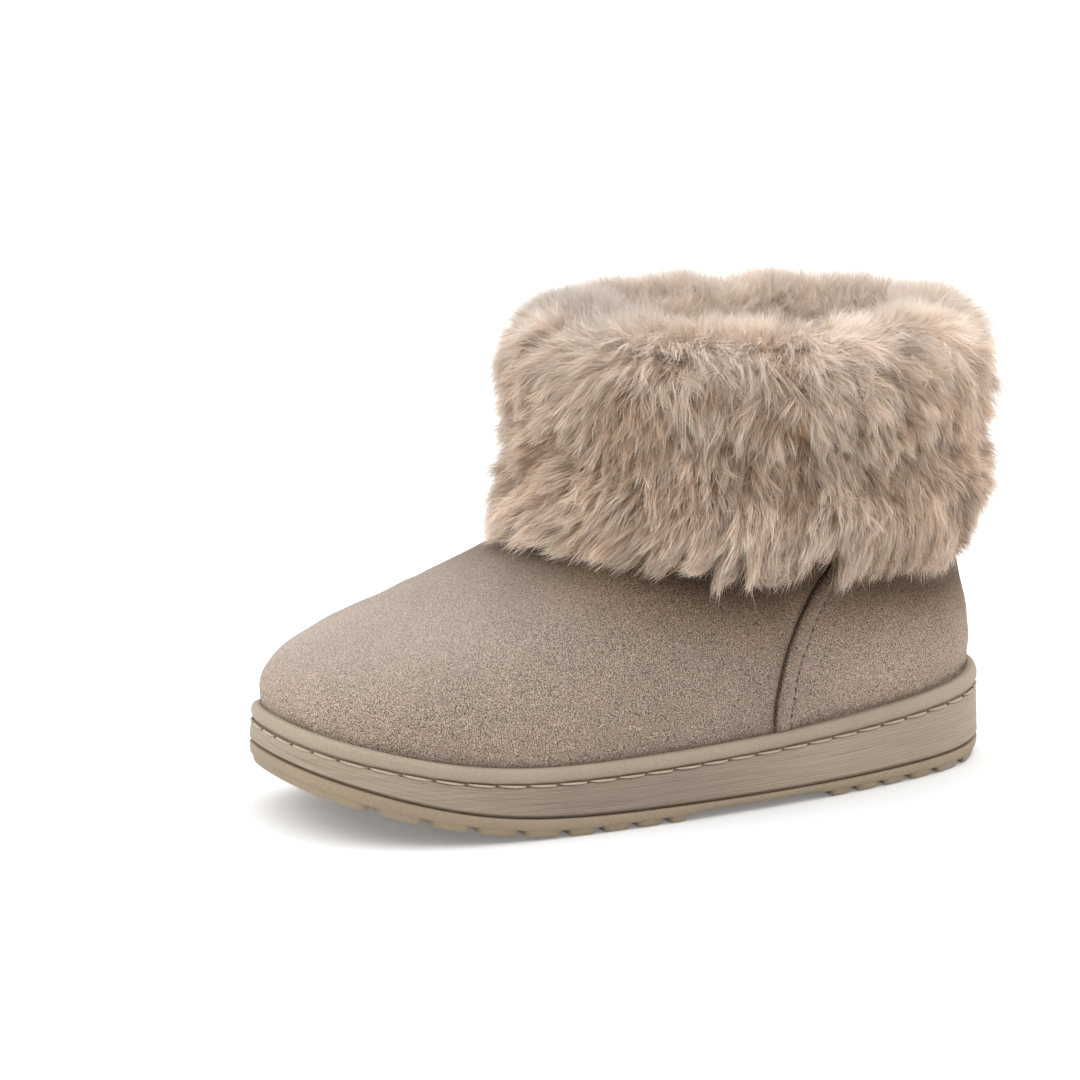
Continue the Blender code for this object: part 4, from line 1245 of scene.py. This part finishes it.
def make_fur():
    chance = np.random.default_rng(FUR_SEED)
    tufts = grow_tufts(chance, grow_locks(chance))
    for number, (count, segments, length, clump, stray, breadth, begin) in enumerate(FUR_PIECES, 1):
        hairs = grow_hairs(chance, tufts, count, segments, length, clump, stray)
        points = world(hair_ribbons(chance, hairs, segments, breadth).reshape(-1, 3))
        corners = [k for j in range(0, 2 * segments - 2, 2) for k in (j, j + 1, j + 3, j + 2)]
        corners += [2 * segments - 2, 2 * segments - 1, 2 * segments]
        polygons = (np.arange(count)[:, None] * (2 * segments + 1) + np.array(corners)).ravel()
        sizes = np.tile([4] * (segments - 1) + [3], count)
        colours = hair_colours(chance, hairs, tufts, segments, begin)
        keep(mesh_object(f"fur_{number}", points, polygons, sizes, FUR_MATERIAL, colours=colours), "fur")


def make_fur_backing():
    """The pile's dense ground under the long hairs, from inside the shaft over the rim to near the hem."""
    places = np.linspace(-0.22, 0.97, 44)
    theta = np.linspace(0, TAU, 97)[:-1]
    uneven = smooth_noise(61, 6.0)
    rows, colours = [], []
    for place in places:
        spot = on_cuff(theta, np.full(len(theta), place))
        sink = BACKING_DEPTH + 0.8 * uneven(spot[:, :3]) + 3.4 * max(0.0, (place - 0.90) / 0.07) ** 2
        rows.append(spot[:, :3] - spot[:, 3:6] * np.broadcast_to(sink, theta.shape)[:, None])
        tone = 1 + 0.25 * uneven(spot[:, :3] * 1.7)
        pale = by_place(place, PALENESS)
        # the ground takes the hairs' root colour by paleness, made 0.8 darker as painted shade under the hairs
        colours.append(np.clip((FUR_ROOT * (1 - pale) + FUR_MIDDLE * pale) * 0.8 * tone[:, None], 0, 1))
    backing = grid_object("fur_backing", np.array(rows), FUR_MATERIAL, colours=np.array(colours), flip=True)
    keep(backing, "fur", "fur_cuff")


# ------------------------------------------------------------------ inside
LINING_DEPTH, BED_HEIGHT, BED_EDGE_DROP = 2.0, 3.9, 0.8


def make_lining():
    """The plush lining of the shaft and the footbed."""
    made = Nodes("plush", 0.95, (0.45, 0.36, 0.28), Sheen_Weight=0.3)
    here = made.coordinates()
    curl = made.noise(here, 900.0, 3.0, 0.6, 0.4)
    tone = made.ramp(curl, (0.3, (0.36, 0.28, 0.21)), (0.7, (0.56, 0.46, 0.36)))
    plush = made.finish(tone, Normal=made.bump(curl, 0.0008, 0.8))
    theta = np.linspace(0, TAU, 121)[:-1]
    rows = []
    for v in np.linspace(0.0, 1.0, 34):
        level = np.full(len(theta), v)
        rows.append(upper_point(theta, level) - upper_outward(theta, level) * LINING_DEPTH)
    keep(grid_object("lining", np.array(rows), plush), "plush")
    distance = np.linspace(0, EDGE_LENGTH, 161)[:-1]
    outline = np.array([edge_by_distance(d, UPPER_INSET + WALL + 0.2) for d in distance])
    across = np.linspace(0, 1, 17)
    bed = across_ring(outline, across)
    heights = sole_lines(bed[..., 0])[1] + BED_HEIGHT - BED_EDGE_DROP * np.abs(2 * across - 1) ** 8
    grid = np.concatenate([bed, heights[..., None]], axis=-1)
    keep(grid_object("footbed", grid, plush, wrap=False), "plush", "insole")


# ------------------------------------------------------------------ studio
CAMERA_YAW, CAMERA_PITCH, CAMERA_DISTANCE = 26.2, 13.0, 1.2
LENS, SHIFT_X, SHIFT_Y = 175.0, -0.08273, 0.06754


def make_camera():
    """Looks at the middle of the sole, 40 mm up, which the frame shows right of and below its centre."""
    yaw, pitch = math.radians(CAMERA_YAW), math.radians(CAMERA_PITCH)
    target = Vector(world(np.array([SOLE_LENGTH / 2, 0.0, 40.0])))
    towards = Vector((math.cos(yaw) * math.cos(pitch), -math.sin(yaw) * math.cos(pitch), math.sin(pitch)))
    data = bpy.data.cameras.new("camera")
    data.sensor_width = 36.0
    data.lens = LENS
    data.shift_x, data.shift_y = SHIFT_X, SHIFT_Y
    data.clip_start, data.clip_end = 0.05, 20.0
    camera = scene_object("camera", data)
    camera.location = target + towards * CAMERA_DISTANCE
    camera.rotation_mode = "QUATERNION"
    camera.rotation_quaternion = (-towards).to_track_quat("-Z", "Y")
    bpy.context.scene.camera = camera


def sun_light(name, towards, strength, spread):
    """An even soft light from the direction given, as wide as spread in degrees."""
    data = bpy.data.lights.new(name, "SUN")
    data.energy = strength
    data.angle = math.radians(spread)
    light = scene_object(name, data)
    light.rotation_mode = "QUATERNION"
    light.rotation_quaternion = (-Vector(towards)).to_track_quat("-Z", "Y")


def make_studio():
    glow = dict(Emission_Color=(1.0, 1.0, 1.0, 1.0), Emission_Strength=0.14)
    floor = Nodes("floor", 0.9, (0.74, 0.74, 0.74), Specular_IOR_Level=0.0, **glow)
    mesh = bpy.data.meshes.new("floor")
    mesh.from_pydata([(-30, -30, 0), (30, -30, 0), (30, 30, 0), (-30, 30, 0)], [], [(0, 1, 2, 3)])
    mesh.materials.append(floor.material)
    ground = scene_object("floor", mesh)
    scene = bpy.context.scene
    scene.world = bpy.data.worlds.new("studio")
    scene.world.use_nodes = True
    background = scene.world.node_tree.nodes["Background"]
    background.inputs["Color"].default_value = (1.0, 1.0, 1.0, 1.0)
    background.inputs["Strength"].default_value = 0.68
    sun_light("key", (-0.14, -0.05, 1.00), 2.90, 110.0)
    sun_light("toe_side", (-0.20, -1.00, 0.45), 0.85, 70.0)
    sun_light("heel_side", (0.15, 1.00, 0.40), 1.05, 70.0)
    scene.view_settings.view_transform = "Standard"
    scene.view_settings.look = "None"
    scene.view_settings.exposure = 0.0


FUR_MATERIAL = fur_material()
make_outsole()
make_wall()
make_welt()
make_welt_stitches()
upper_grid = make_upper()
make_seam_stitches(UpperFinder(upper_grid))
make_fuzz(upper_grid)
make_fur_backing()
make_fur()
make_lining()
make_camera()
make_studio()
